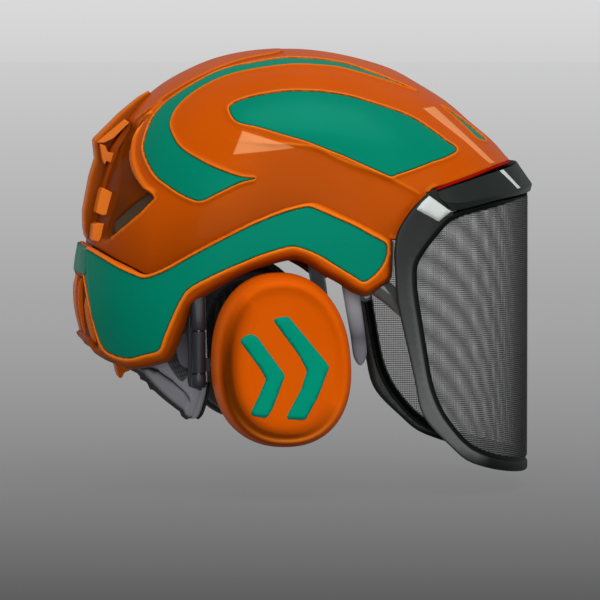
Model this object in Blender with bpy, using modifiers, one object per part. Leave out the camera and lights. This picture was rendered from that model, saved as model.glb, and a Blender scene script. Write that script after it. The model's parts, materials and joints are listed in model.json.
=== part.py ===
"""Forestry helmet: hard hat shell with face screen, ear defenders, harness and nape cradle.

Units: metres, +Z up, +X forward (the way the wearer looks), +Y to the wearer's left.
The origin is the point where the wearer's crown touches the crown pad.
All shape values are millimetres in a drawing frame; world() moves a point from that
frame to the origin above and turns it into metres. A "side" is +1 left or -1 right, and
y values given with a side are distances from the middle plane.
"""
import math

import bmesh
import bpy
from mathutils import Matrix, Vector

for old in list(bpy.data.objects):
    bpy.data.objects.remove(old, do_unlink=True)

# ---- shared dimensions (mm, drawing frame) ----------------------------------------------
MM = 0.001
CROWN_X, CROWN_Z = -15.0, 122.0       # the wearer's crown in the drawing frame
SIDES = (("left", 1), ("right", -1))
ACROSS = (-140, 140)                  # y range of cutters that run right across
ABOVE = [(170, 200), (-170, 200)]     # x, z corners closing a cutter above the crown

WALL = 2.6                            # shell wall
GAP = 0.35                            # clearance between neighbouring solids
SHELL_SEGMENTS = 40                   # facets round the shell
LOWER_OFFSET = 1.4                    # how far the lower shell stands outside the upper
SMOOTH_ANGLE = math.radians(35)       # edges sharper than this stay sharp

VISOR_PIVOT = (56.5, 48.0)            # x, z of the visor's pin, at the foot of its slot
VISOR_SLOT = 14.0                     # travel of the pin along its slot
SLOT_DIR = (0.35, 0.9367)             # x, z direction of the slot
SLOT_TOP = tuple(p + d * VISOR_SLOT for p, d in zip(VISOR_PIVOT, SLOT_DIR))
STAY_PIVOT = (56.0, -3.0)             # x, z of the stay arm's hinge on the visor frame

# Shell levels from the crown down:
# height, rear x, front x, half width, squareness of the plan outline
LEVELS = [
    (160.6, -8, -8, 0, 2.0), (159.2, -31, 13, 20, 2.0), (155.0, -52, 35, 39, 2.05),
    (148.0, -70, 57.5, 56, 2.1), (138.5, -87, 75, 70, 2.2), (127, -101, 93, 81, 2.3),
    (114, -112, 108, 89.5, 2.4), (100, -120.5, 124, 95.5, 2.5), (84, -127, 135.5, 99.5, 2.6),
    (66, -132, 142.5, 102.3, 2.65), (46, -137, 147, 104.2, 2.65), (24, -141, 149, 105.3, 2.65),
    (0, -143, 150, 106, 2.65), (-22, -140.5, 150, 106, 2.65), (-46, -134, 150, 105, 2.65),
]
LAST_LEVEL = len(LEVELS) - 1

# ---- collections and materials ------------------------------------------------------------
parts = bpy.data.collections.new("forestry_helmet")
cutters = bpy.data.collections.new("cutters")
for collection in (parts, cutters):
    bpy.context.scene.collection.children.link(collection)


def make_material(name, colour, roughness, metallic=0.0):
    made = bpy.data.materials.new(name)
    made.use_nodes = True
    shader = made.node_tree.nodes["Principled BSDF"]
    shader.inputs["Base Color"].default_value = (*colour, 1.0)
    shader.inputs["Roughness"].default_value = roughness
    shader.inputs["Metallic"].default_value = metallic
    made.diffuse_color = (*colour, 1.0)
    return made


ORANGE = make_material("orange_shell", colour=(0.55, 0.09, 0.004), roughness=0.25)
GREEN = make_material("green_inlay", colour=(0.004, 0.24, 0.15), roughness=0.3)
BLACK = make_material("black_plastic", colour=(0.02, 0.024, 0.023), roughness=0.35)
GREY = make_material("grey_plastic", colour=(0.2, 0.21, 0.24), roughness=0.45)
FOAM = make_material("white_foam", colour=(0.75, 0.75, 0.73), roughness=0.8)
DARK = make_material("dark_fabric", colour=(0.03, 0.03, 0.035), roughness=0.9)
STEEL = make_material("steel", colour=(0.55, 0.56, 0.57), roughness=0.3, metallic=1.0)
MESH = make_material("screen_mesh", colour=(0.06, 0.06, 0.065), roughness=0.4, metallic=0.8)
RED = make_material("red_seal", colour=(0.5, 0.01, 0.01), roughness=0.5)


# ---- curves and outlines ------------------------------------------------------------------
def world(x, y, z):
    """Drawing millimetres to world metres."""
    return Vector(((x - CROWN_X) * MM, y * MM, (z - CROWN_Z) * MM))


def catmull_rom(before, start, end, after, f):
    """Point at fraction f between start and end."""
    return tuple(0.5 * (2 * b + (c - a) * f + (2 * a - 5 * b + 4 * c - d) * f * f
                        + (3 * b - a - 3 * c + d) * f ** 3)
                 for a, b, c, d in zip(before, start, end, after))


def smooth(points, steps=2):
    """Open Catmull-Rom curve through the points, with the given steps per span."""
    last = len(points) - 1
    curve = []
    for i in range(last):
        span = [points[max(0, min(last, i + k))] for k in (-1, 0, 1, 2)]
        curve += [catmull_rom(*span, j / steps) for j in range(steps)]
    return curve + [points[-1]]


def shifted(points, rise):
    """Side outline moved up by rise."""
    return [(x, z + rise) for x, z in points]


def superellipse(angle, half_a, half_b, squareness):
    c, s = math.cos(angle), math.sin(angle)
    k = (abs(c) ** squareness + abs(s) ** squareness) ** (-1.0 / squareness)
    return half_a * k * c, half_b * k * s


def turn(count):
    """Angles of a full turn in equal steps."""
    return [2 * math.pi * i / count for i in range(count)]


def plan_curve(centre_x, half_length, half_width, angles, squareness=2.2):
    """Plan points (x, y) on a superellipse at the given angles from the front."""
    curve = []
    for angle in angles:
        x, y = superellipse(angle, half_length, half_width, squareness)
        curve.append((centre_x + x, y))
    return curve


def stadium(start, end, radius, steps=8):
    """Outline with round ends about the segment start-end."""
    heading = math.atan2(end[1] - start[1], end[0] - start[0])
    outline = []
    for centre, first in ((end, heading - math.pi / 2), (start, heading + math.pi / 2)):
        for i in range(steps + 1):
            angle = first + math.pi * i / steps
            outline.append((centre[0] + radius * math.cos(angle),
                            centre[1] + radius * math.sin(angle)))
    return outline


# ---- objects and modifiers ----------------------------------------------------------------
def link_mesh(name, bm, material, origin=None):
    """Object from world-space bmesh data; without a material it is a hidden cutter.

    The object's origin sits at the drawing point given, or at the world origin.
    """
    place = world(*origin) if origin else Vector((0, 0, 0))
    bmesh.ops.translate(bm, verts=bm.verts, vec=-place)
    mesh = bpy.data.meshes.new(name)
    bm.to_mesh(mesh)
    bm.free()
    obj = bpy.data.objects.new(name, mesh)
    obj.location = place
    if material is None:
        cutters.objects.link(obj)
        obj.hide_render = True
        obj.display_type = 'WIRE'
    else:
        parts.objects.link(obj)
        mesh.materials.append(material)
        mesh.shade_smooth()
        mesh.set_sharp_from_angle(angle=SMOOTH_ANGLE)
    return obj


def link_solid(name, bm, material=None, origin=None):
    """As link_mesh, for a closed body whose faces are first turned outwards."""
    bmesh.ops.recalc_face_normals(bm, faces=bm.faces)
    return link_mesh(name, bm, material, origin)


def boolean(obj, cutter, operation='DIFFERENCE'):
    modifier = obj.modifiers.new(operation.lower(), 'BOOLEAN')
    modifier.operation = operation
    modifier.solver = 'EXACT'
    modifier.object = cutter


def bevel(obj, width):
    modifier = obj.modifiers.new("bevel", 'BEVEL')
    modifier.width = width * MM
    modifier.segments = 1


def thicken(obj, thickness):
    """Thicken a surface on the side its normals point away from."""
    modifier = obj.modifiers.new("wall", 'SOLIDIFY')
    modifier.thickness = thickness * MM
    modifier.offset = -1.0
    modifier.use_even_offset = True


# ---- basic solids -------------------------------------------------------------------------
def extrude(bm, corners, vector):
    face = bm.faces.new([bm.verts.new(corner) for corner in corners])
    result = bmesh.ops.extrude_face_region(bm, geom=[face])
    moved = [v for v in result["geom"] if isinstance(v, bmesh.types.BMVert)]
    bmesh.ops.translate(bm, verts=moved, vec=vector)


def prism_bm(points, ys, side=1, bm=None):
    """Side outline (x, z) extruded over the y range."""
    bm = bm or bmesh.new()
    start, end = ys[0] * side, ys[1] * side
    extrude(bm, [world(x, start, z) for x, z in points], (0, (end - start) * MM, 0))
    return bm


def prism(name, points, ys=ACROSS, material=None, origin=None, side=1):
    return link_solid(name, prism_bm(points, ys, side), material, origin)


def plan_prism(name, points, zs, material=None):
    """Plan outline (x, y) extruded over the z range."""
    bm = bmesh.new()
    extrude(bm, [world(x, y, zs[0]) for x, y in points], (0, 0, (zs[1] - zs[0]) * MM))
    return link_solid(name, bm, material)


def cylinder_bm(ends, radius, segments=24, end_radius=None, bm=None):
    bm = bm or bmesh.new()
    start, end = world(*ends[0]), world(*ends[1])
    turned = (end - start).to_track_quat('Z', 'Y').to_matrix().to_4x4()
    bmesh.ops.create_cone(bm, cap_ends=True, segments=segments, radius1=radius * MM,
                          radius2=(radius if end_radius is None else end_radius) * MM,
                          depth=(end - start).length,
                          matrix=Matrix.Translation((start + end) / 2) @ turned)
    return bm


def cylinder(name, ends, radius, material=None, origin=None, segments=24, end_radius=None):
    bm = cylinder_bm(ends, radius, segments, end_radius)
    return link_solid(name, bm, material, origin)


def ends_along_y(point, ys, side):
    """Ends of a crosswise cylinder through the side-view point (x, z)."""
    return [(point[0], y * side, point[1]) for y in ys]


def box_bm(xs, ys, zs, side=1, bm=None):
    bm = bm or bmesh.new()
    x, y, z = [(a + b) / 2 for a, b in (xs, ys, zs)]
    size = [abs(b - a) * MM for a, b in (xs, ys, zs)]
    place = Matrix.Translation(world(x, y * side, z))
    bmesh.ops.create_cube(bm, size=1.0, matrix=place @ Matrix.Diagonal((*size, 1)))
    return bm


def box(name, xs, ys, zs, side, material=None, origin=None):
    return link_solid(name, box_bm(xs, ys, zs, side), material, origin)


def ring_faces(bm, first, second):
    """Quads between two closed rings of vertices."""
    count = len(first)
    for k in range(count):
        after = (k + 1) % count
        bm.faces.new((first[k], second[k], second[after], first[after]))


def loft(name, stations, material):
    """Closed triangulated body through stations of (x, y, z) corners."""
    bm = bmesh.new()
    rings = [[bm.verts.new(world(*corner)) for corner in station] for station in stations]
    for first, second in zip(rings, rings[1:]):
        ring_faces(bm, first, second)
    bm.faces.new(rings[0])
    bm.faces.new(list(reversed(rings[-1])))
    bmesh.ops.triangulate(bm, faces=bm.faces)
    return link_solid(name, bm, material)


# ---- the shell surface --------------------------------------------------------------------
def level_row(index):
    """A row of LEVELS, carried one past each end: mirrored at the crown, straight below."""
    if index < 0:
        height, rear, front, half_width, squareness = LEVELS[1]
        return (height, front, rear, -half_width, squareness)
    if index > LAST_LEVEL:
        return tuple(2 * a - b for a, b in zip(LEVELS[-1], LEVELS[-2]))
    return LEVELS[index]


def shell_point(level, angle):
    """Point on the shell at a fractional level; angle 0 is the front."""
    i = min(int(level), LAST_LEVEL - 1)
    span = [level_row(i + k) for k in (-1, 0, 1, 2)]
    height, rear, front, half_width, squareness = catmull_rom(*span, level - i)
    x, y = superellipse(angle, (front - rear) / 2, half_width, squareness)
    return Vector(((rear + front) / 2 + x, y, height))


def shell_normal(level, angle):
    step = 0.01
    around = shell_point(level, angle + step) - shell_point(level, angle - step)
    down = shell_point(min(level + step, LAST_LEVEL), angle) - shell_point(level - step, angle)
    return down.cross(around).normalized()


def skin(name, offset, thickness, levels, rows, material=None, segments=SHELL_SEGMENTS):
    """Shell surface between two levels at a normal offset, thickened inwards."""
    bm = bmesh.new()
    top, bottom = levels
    rings = []
    for i in range(rows + 1):
        level = top + (bottom - top) * i / rows
        if level == 0:
            pole = shell_point(0, 0) + Vector((0, 0, offset))
            rings.append([bm.verts.new(world(*pole))])
            continue
        rings.append([bm.verts.new(world(*(shell_point(level, angle)
                                           + shell_normal(level, angle) * offset)))
                      for angle in turn(segments)])
    for first, second in zip(rings, rings[1:]):
        if len(first) == 1:
            for k in range(segments):
                bm.faces.new((first[0], second[k], second[(k + 1) % segments]))
        else:
            ring_faces(bm, first, second)
    bmesh.ops.recalc_face_normals(bm, faces=bm.faces)
    # the topmost face must look up or, with the crown left open, the foremost one forward
    axis = 2 if top == 0 else 0
    face = max(bm.faces, key=lambda f: f.calc_center_median()[axis])
    if face.normal[axis] < 0:
        bmesh.ops.reverse_faces(bm, faces=bm.faces)
    obj = link_mesh(name, bm, material)
    thicken(obj, thickness)
    return obj


# ---- shells -------------------------------------------------------------------------------
# Side outlines (x, z): the joint between the shells, the upper shell's front edge
# and the lower shell's bottom and front edge, each from rear to front
RIDGE = [(-170, 41), (-141, 38.5), (-124.3, 30.3), (-114, 25.3), (-106, 21.6), (-97.7, 24.2),
         (-72, 38.4), (-55.6, 47.1), (-39.7, 55.7), (-21.8, 62.4), (-8.8, 66), (-1.4, 66),
         (12.2, 59.8), (31.4, 50.5), (42.6, 44)]
BROW_REAR = [(46.6, 43), (54, 41.5), (64, 44), (70, 52), (71, 62), (69.3, 72.9)]
BROW_FRONT = [(79.3, 76.4), (96.4, 81.6), (111.3, 86.2), (119.7, 88.3), (134, 90.5), (170, 96)]
RIM = [(-170, -18), (-139.9, -24.4), (-133.9, -31.1), (-121.3, -37), (-114.4, -39),
       (-97.7, -34.5), (-91.5, -29.7), (-84.2, -10.9), (-78.8, 2.4), (-63.7, 13.3),
       (-45.5, 23.2), (-28.9, 28.7), (-16, 31), (-6.7, 27.4), (-0.5, 23), (11.9, 16.2),
       (18.1, 11.8), (25.5, 8.6), (30.5, 8.6), (36.8, 12.3), (43.1, 16.5), (45.7, 21.4),
       (46.3, 29.4)]
LOWER_CORNER = (46.6, 42.6)           # top front corner of the lower shell
VENT = [(0, 0), (22, 17), (21, 20.5), (-1, 3.5)]   # vent outline from its start corner
VENT_START, VENT_PITCH = (-122, 62), (26, 20)      # x, z
VENT_Y = (60, 120)
SLOT_RADIUS = 3.5


def build_upper_shell(slot):
    upper = skin("shell_upper", 0.0, WALL, (0, 12), 12, ORANGE)
    outline = shifted(smooth(RIDGE), GAP / 2) + BROW_REAR + BROW_FRONT + ABOVE
    boolean(upper, prism("cut_upper", outline), 'INTERSECT')
    boolean(upper, slot)
    bm = bmesh.new()
    for side in (-1, 1):   # two vent slots each side at the rear of the crown
        for k in range(2):
            x0, z0 = [a + p * k for a, p in zip(VENT_START, VENT_PITCH)]
            prism_bm([(x0 + x, z0 + z) for x, z in VENT], VENT_Y, side, bm)
    boolean(upper, link_solid("cut_vents", bm))


def build_lower_shell():
    lower = skin("shell_lower", LOWER_OFFSET, WALL, (8.4, 14), 6, ORANGE)
    outline = shifted(smooth(RIDGE), -GAP / 2) + [LOWER_CORNER] + RIM[::-1]
    boolean(lower, prism("cut_lower", outline), 'INTERSECT')


# ---- inlays -------------------------------------------------------------------------------
INLAY_THICKNESS = 0.8
INLAY_OFFSET = INLAY_THICKNESS + GAP  # outer face of an inlay above its shell
INLAY_Y = (8, 140)

# Side outlines (x, z)
BAND = [(-138.5, 33.5), (-130.9, 31), (-121, 25), (-110.6, 20.5), (-105.4, 19.4),
        (-94.8, 23.6), (-78.6, 33.3), (-62.3, 42.4), (-45.9, 50.8), (-34.8, 55.7),
        (-23.7, 60), (-12.6, 63), (-7, 63.6), (-1.5, 61.7), (9.6, 56.8), (20.8, 51.8),
        (32, 45.6), (40.2, 41), (41, 37), (40.7, 33.2), (37.5, 26.4), (31.8, 20.3), (26.2, 17.3),
        (20.6, 20.4), (9.4, 27.3), (-1.7, 34.1), (-12.8, 38.5), (-20.2, 39.1), (-35, 34.9),
        (-46, 30.6), (-62.5, 23.2), (-78.8, 14.4), (-84.2, 8.2), (-89.6, -3), (-94.9, -16.7),
        (-97.8, -24.9), (-105.4, -27.7), (-115.8, -30.8), (-126, -27.9), (-131.1, -20.8),
        (-135.5, -3), (-138.5, 16)]
STRIPE = [(68, 134.1), (39.3, 146), (18, 152.6), (-11.1, 155.1), (-34.3, 152.2),
          (-52.8, 148.3), (-67.6, 141.7), (-86, 130.5), (-97.5, 119.3), (-103.9, 105.8),
          (-105.2, 96), (-100.1, 83.4), (-92.1, 76.2), (-82.9, 70.2), (-73.4, 67.2),
          (-63.7, 71.6), (-49.1, 78.7), (-39.3, 81.4), (-49, 82.4), (-63.3, 87.5), (-72.7, 92.3),
          (-82, 98.3), (-86.4, 103.7), (-89.2, 112.8), (-86.1, 121.4), (-79.5, 128.8),
          (-69.2, 136.2), (-54, 143.4), (-35.2, 148), (-12.4, 150.8), (6.4, 150.2),
          (21.6, 148.3), (47, 141)]
LEAF = [(-53.6, 124.1), (-49.7, 127.5), (-42.2, 130.3), (-31, 132.7), (-16, 134.6), (3.4, 134.2),
        (21.4, 131.4), (36.4, 127), (51.5, 122), (62.9, 117), (74.1, 109.6), (81.5, 104),
        (89, 98), (80.3, 93.3), (72.1, 90.9), (60.1, 86.8), (48.4, 83.2), (44.6, 82),
        (37.1, 85.1), (25.9, 90.1), (14.8, 95.1), (3.8, 99.4), (-7.2, 103.7), (-21.8, 108),
        (-36.3, 112.3), (-47.1, 114.7), (-51.7, 118)]
TIP = [(83.9, 124.6), (92.5, 119.6), (100.8, 113.6), (108, 107.8), (112.5, 103.2),
       (105.3, 104.3), (98.5, 111.2), (91.3, 118)]
# name, outline, shell levels covered, rows, offset
INLAYS = [
    ("inlay_stripe", STRIPE, (1, 10), 9, INLAY_OFFSET),
    ("inlay_leaf", LEAF, (4, 9), 5, INLAY_OFFSET),
    ("inlay_tip", TIP, (4, 9), 5, INLAY_OFFSET),
    ("inlay_band", BAND, (8.4, 14), 6, LOWER_OFFSET + INLAY_OFFSET),
]


def build_inlays(label, side):
    for name, outline, levels, rows, offset in INLAYS:
        inlay = skin(f"{name}_{label}", offset, INLAY_THICKNESS, levels, rows, GREEN)
        cutter = prism(f"cut_{name}_{label}", outline, INLAY_Y, side=side)
        boolean(inlay, cutter, 'INTERSECT')


# ---- rear spine, rear guard, lamp clip ----------------------------------------------------
SPINE = [(-97, 131), (-109.5, 125), (-120, 114.5), (-130.5, 102.5), (-128.5, 92), (-135, 84),
         (-137, 66), (-134, 60), (-141, 52), (-142, 44), (-120, 44), (-120, 70), (-112, 100),
         (-97, 118)]                  # x, z
SPINE_PLAN = [(-170, -13), (-134, -20), (-96, -27), (-70, -27), (-70, 27),
              (-96, 27), (-134, 20), (-170, 13)]   # x, y; narrows to the rear
GUARD = [(-141, 18), (-145.5, 16), (-147.5, 4), (-147, -8), (-143, -24), (-140, -27),
         (-120, -27), (-120, 18)]     # x, z
GUARD_VENTS_Y, GUARD_VENT_HALF_WIDTH = (-18, -6, 6, 18), 3
CLIP = [(-121, -40.5), (-108, -42.8), (-106, -46), (-112, -47), (-112.5, -50),
        (-119.5, -50), (-120.5, -45)]  # x, z
SHELL_CUT_DEPTH = 30                  # clears all of a rear part that lies inside the shell


def build_rear_spine():
    spine = prism("rear_spine", SPINE, (-24, 24), ORANGE)
    boolean(spine, skin("cut_spine_shell", GAP, SHELL_CUT_DEPTH, (3, 13), 10))
    boolean(spine, plan_prism("cut_spine_plan", SPINE_PLAN, (30, 150)), 'INTERSECT')


def build_rear_guard():
    guard = prism("rear_guard", GUARD, (-27, 27), ORANGE)
    boolean(guard, skin("cut_guard_shell", LOWER_OFFSET + GAP, SHELL_CUT_DEPTH, (7, 14), 7))
    bm = bmesh.new()
    for y in GUARD_VENTS_Y:
        ys = (y - GUARD_VENT_HALF_WIDTH, y + GUARD_VENT_HALF_WIDTH)
        box_bm((-160, -130), ys, (-18, 9), bm=bm)
    boolean(guard, link_solid("cut_guard_vents", bm))


def build_lamp_clip():
    bevel(prism("lamp_clip", CLIP, (-11, 11), ORANGE), width=0.8)


# ---- impact liner -------------------------------------------------------------------------
LINER_OFFSET = -WALL - 1.3
LINER_THICKNESS = 14.8
# Side outlines (x, z)
LINER_EDGE = [(-170, -14), (-118, -14), (-96, 12), (-88, 34), (-60, 36), (-20, 46), (20, 40),
              (44, 46), (48, 74), (70, 82), (96.4, 90), (111, 94), (170, 98)]
STAY_POCKET = [(-24, 44), (-16, 58), (20, 52), (52, 36), (52, 20), (-24, 20)]
PIN_POCKET = stadium((VISOR_PIVOT[0] - 2, VISOR_PIVOT[1]), SLOT_TOP, 8)


def build_impact_liner():
    liner = skin("impact_liner", LINER_OFFSET, LINER_THICKNESS, (0, 13), 10, FOAM, segments=28)
    boolean(liner, prism("cut_liner", LINER_EDGE + ABOVE), 'INTERSECT')
    bm = bmesh.new()
    for side in (-1, 1):   # pockets for the stay arms and the visor pins
        prism_bm(STAY_POCKET, (93, 130), side, bm)
        prism_bm(PIN_POCKET, (91.5, 130), side, bm)
    boolean(liner, link_solid("cut_liner_pockets", bm))


# ---- harness: headband, brow pad, suspension web, crown pad, temple arms ------------------
HEADBAND_X = -10.0
HEADBAND_HALF_LENGTH, HEADBAND_HALF_WIDTH = 96.0, 78.0
HEADBAND_TILT = 0.30                  # rise per mm forward
BROW_PAD_INSET = 2.3                  # from the headband's outer face
BROW_PAD_ARC, BROW_PAD_STEPS = 50, 14  # degrees either side of the front
WEB_X = -8                            # where the six web straps meet
# distance from the web centre, distance off the strap's centre line
WEB_STRAP = [(24, -10), (150, -10), (150, 10), (24, 10)]
PAD_THICKNESS = 6
TEMPLE_ARM = [(15.5, 45), (15.8, 14), (18.5, 0), (21.5, -17), (23.5, -31), (26, -35.5),
              (29.5, -35), (31.5, -30), (31.5, -22), (29, -6), (26.5, 12), (25.5, 45)]  # x, z


def band(name, inset, thickness, zs, material, angles, closed):
    """Upright band on the headband's plan curve, tilted along x and thickened inwards."""
    curve = plan_curve(HEADBAND_X, HEADBAND_HALF_LENGTH - inset, HEADBAND_HALF_WIDTH - inset,
                       angles)
    bm = bmesh.new()
    low, high = [[bm.verts.new(world(x, y, z + HEADBAND_TILT * (x - HEADBAND_X)))
                  for x, y in curve] for z in zs]
    for i in range(len(curve) - (0 if closed else 1)):
        j = (i + 1) % len(curve)
        bm.faces.new((low[i], low[j], high[j], high[i]))
    thicken(link_mesh(name, bm, material), thickness)


def build_headband():
    band("headband", 0, 1.8, (40, 60), GREY, turn(40), closed=True)
    angles = [math.radians(-BROW_PAD_ARC + 2 * BROW_PAD_ARC * i / BROW_PAD_STEPS)
              for i in range(BROW_PAD_STEPS + 1)]
    band("brow_pad", BROW_PAD_INSET, 4.0, (38, 61), DARK, angles, closed=False)


def build_suspension_web():
    web = skin("suspension_web", -20.4, 1.6, (0, 9), 4, GREY, segments=18)
    star = []
    for i in range(6):
        angle = math.pi / 6 + math.pi / 3 * i
        c, s = math.cos(angle), math.sin(angle)
        star += [(WEB_X + reach * c - off * s, reach * s + off * c) for reach, off in WEB_STRAP]
    boolean(web, plan_prism("cut_web", star, (84, 170)), 'INTERSECT')


def build_crown_pad():
    outline = plan_curve(CROWN_X, 44, 34, turn(24), squareness=2.4)
    pad = plan_prism("crown_pad", outline, (CROWN_Z, CROWN_Z + PAD_THICKNESS), DARK)
    bevel(pad, width=2.0)


def build_temple_arm(label, side):
    arm = prism(f"temple_arm_{label}", TEMPLE_ARM, (80.4, 84.0), GREY, side=side)
    bevel(arm, width=1.0)


# ---- visor: bracket, pins, frame, mesh, brow bar, seal ------------------------------------
VISOR_IN, VISOR_OUT = 107.8, 113.6    # half width of the visor frame at the temple
VISOR_X = 40.0                        # x of the visor's temple ends
VISOR_REACH = 104.5                   # from there to the front
VISOR_SQUARENESS = 2.35
VISOR_STEPS = 32
MESH_INSETS = (2.4, 3.4)              # outer and inner face, from the frame's outer face
PIN_HOLE_Y = (104, 110.7)
VISOR_PIN_HOLE, STAY_PIN_HOLE = 3.3, 2.5   # radii
SEAL_TAIL = (73.5, 74.2)              # x, z of the seal's rear end
SEAL_DROP = 2.2                       # seal's lower edge below the brow edge

# Side outlines (x, z)
FRAME_OUT = [(59.4, 60.6), (68.7, 70.2), (69.6, 71.4), (80.4, 59.9), (89, 61), (101, 63.5),
             (112.5, 66), (122.5, 67.3), (131.5, 68.3), (144.8, 69.6), (160, 70), (160, -107.5),
             (143, -107), (136, -106), (122, -103.5), (107.6, -100), (92.3, -94.2), (80.7, -84.4),
             (67.5, -71.5), (61.2, -60.4), (57.5, -42.5), (52.6, -21.5), (48.8, -5.4),
             (46.9, 7.5), (46.3, 24.8), (46.9, 37.2), (50, 48.4)]
FRAME_HOLE = [(160, 67.5), (112, 62.5), (92, 58.5), (81.6, 54.4), (74.1, 47.6), (66.7, 39),
              (60.8, 30.4), (59.2, 23), (59.9, 10.2), (63, -8.7), (65.5, -23.5), (69.2, -43.4),
              (74.2, -57.6), (82, -70), (96.5, -84.7), (119, -93.4), (142, -97.3), (160, -97.5)]
MESH_OUT = [(160, 66.9), (112, 61.9), (92, 57.9), (82, 53.7), (74.8, 47.2), (67.4, 38.6),
            (61.4, 30), (59.9, 22.8), (60.6, 10.2), (63.7, -8.7), (66.2, -23.5), (69.9, -43.4),
            (74.9, -57.4), (82.5, -69.5), (97, -84.1), (119.2, -92.8), (142, -96.7), (160, -96.9)]

# Brow bar edges (x, y, z), from the left temple to the centre; a station takes one point
# from each edge, and the right half is the mirror of the left
BAR_TOP = [(70.6, 105, 72.2), (80, 101, 75.4), (92, 94, 78.6), (104, 84.5, 81.9),
           (115.5, 73, 84.6), (126, 57, 86.9), (133, 38, 88.3), (136.8, 19, 89), (138, 0, 89.3)]
BAR_CREST = [(74.6, 109, 67.9), (86, 106, 66.6), (99, 100, 67.8), (111, 91.5, 69.3),
             (121.5, 80, 70.8), (131, 65.5, 72.2), (139.5, 47, 73.5), (146, 25, 74.3),
             (148.6, 0, 74.6)]
BAR_LIP = [(81.2, 106.6, 60.9), (89.5, 103.5, 61.7), (101, 98, 64.2), (112.5, 89.5, 66.7),
           (122.5, 78.5, 68), (131.5, 64.5, 69), (139, 46.5, 69.7), (144.8, 25, 70.2),
           (147, 0, 70.4)]
BAR_UNDER = [(80.9, 101, 61.2), (88, 98.5, 62.3), (98.9, 93, 64.5), (109.6, 84.4, 67),
             (118.8, 73.6, 68.2), (127, 61, 69.2), (134, 44, 69.9), (139.3, 23.3, 70.4),
             (141.3, 0, 70.6)]
BAR_INNER = [(73.2, 102.6, 69.4), (80.8, 99, 72), (91.6, 92.2, 75), (103.4, 82.8, 78.4),
             (114.7, 71.6, 81.2), (125, 56, 83.5), (132, 37.6, 84.9), (136, 18.8, 85.5),
             (137.2, 0, 85.7)]


def build_visor_mount(label, side, slot):
    """Slotted bracket plate and the pin that slides in it."""
    plate = prism(f"visor_bracket_{label}", stadium(VISOR_PIVOT, SLOT_TOP, 6.5),
                  (103.3, 104.8), BLACK, side=side)
    boolean(plate, slot)
    pin = cylinder(f"visor_pin_{label}", ends_along_y(VISOR_PIVOT, (92.6, 110.4), side), 3.0,
                   STEEL, (VISOR_PIVOT[0], 0, VISOR_PIVOT[1]), segments=16)
    collar = cylinder(f"cut_collar_{label}", ends_along_y(VISOR_PIVOT, (92.3, 94.4), side), 5.4,
                      segments=16)
    boolean(pin, collar, 'UNION')


def visor_curve(inset):
    """Plan curve of the visor from the right temple round the front to the left."""
    angles = [-math.pi / 2 + math.pi * i / VISOR_STEPS for i in range(VISOR_STEPS + 1)]
    return plan_curve(VISOR_X, VISOR_REACH - inset, VISOR_OUT - inset, angles, VISOR_SQUARENESS)


def visor_wall(name, insets, zs, material):
    outline = visor_curve(insets[0]) + visor_curve(insets[1])[::-1]
    return plan_prism(name, outline, zs, material)


def build_visor_frame():
    frame = visor_wall("visor_frame", (0.0, VISOR_OUT - VISOR_IN), (-112, 76), BLACK)
    boolean(frame, prism("cut_frame_out", FRAME_OUT), 'INTERSECT')
    boolean(frame, prism("cut_frame_hole", FRAME_HOLE))
    # the top rail is thinner on the inside, so that it clears the brow as it rises
    rail = [point for point in visor_curve(3.3) if point[0] > 96]
    rail += [point for point in reversed(visor_curve(9.0)) if point[0] > 92]
    boolean(frame, plan_prism("cut_frame_rail", rail, (57, 90)))
    bm = bmesh.new()
    for side in (-1, 1):
        for point, radius in ((VISOR_PIVOT, VISOR_PIN_HOLE), (STAY_PIVOT, STAY_PIN_HOLE)):
            cylinder_bm(ends_along_y(point, PIN_HOLE_Y, side), radius, bm=bm)
    boolean(frame, link_solid("cut_frame_pins", bm))


def build_visor_mesh():
    screen = visor_wall("visor_mesh", MESH_INSETS, (-110, 80), MESH)
    boolean(screen, prism("cut_mesh", MESH_OUT), 'INTERSECT')


def build_brow_bar():
    """Sloping cap from the brow edge out to the visor's top edge."""
    left = list(zip(BAR_TOP, BAR_CREST, BAR_LIP, BAR_UNDER, BAR_INNER))
    right = [[(x, -y, z) for x, y, z in station] for station in left]
    loft("brow_bar", right + left[-2::-1], BLACK)


def build_visor_seal():
    """Thin strip under the front edge of the upper shell."""
    seal = skin("visor_seal", 0.5, 2.6, (5, 10), 8, RED)
    line = [SEAL_TAIL] + BROW_FRONT
    outline = shifted(line, -GAP) + shifted(line, -SEAL_DROP)[::-1]
    boolean(seal, prism("cut_seal", outline), 'INTERSECT')


# ---- visor stay arms: hinged on the frame, sliding behind the shell's front lobe ----------
STAY_GUIDE = (34.0, 14.5)             # x, z of a point the arm passes through
STAY_LENGTH = 82.0


def build_stay_arm(label, side):
    run = [g - p for g, p in zip(STAY_GUIDE, STAY_PIVOT)]
    length = math.hypot(*run)
    tail = [p + r / length * STAY_LENGTH for p, r in zip(STAY_PIVOT, run)]
    origin = (STAY_PIVOT[0], 0, STAY_PIVOT[1])
    arm = prism(f"stay_arm_{label}", stadium(STAY_PIVOT, tail, 4.6), (94.6, 98.4), BLACK,
                origin, side)
    boss = cylinder(f"cut_stay_boss_{label}", ends_along_y(STAY_PIVOT, (96, 105.9), side), 4.9)
    boolean(arm, boss, 'UNION')
    boolean(arm, cylinder(f"cut_stay_hole_{label}", ends_along_y(STAY_PIVOT, (90, 110), side),
                          STAY_PIN_HOLE))
    cylinder(f"stay_pin_{label}", ends_along_y(STAY_PIVOT, (93.6, 110.2), side), 2.1,
             STEEL, origin)


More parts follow.
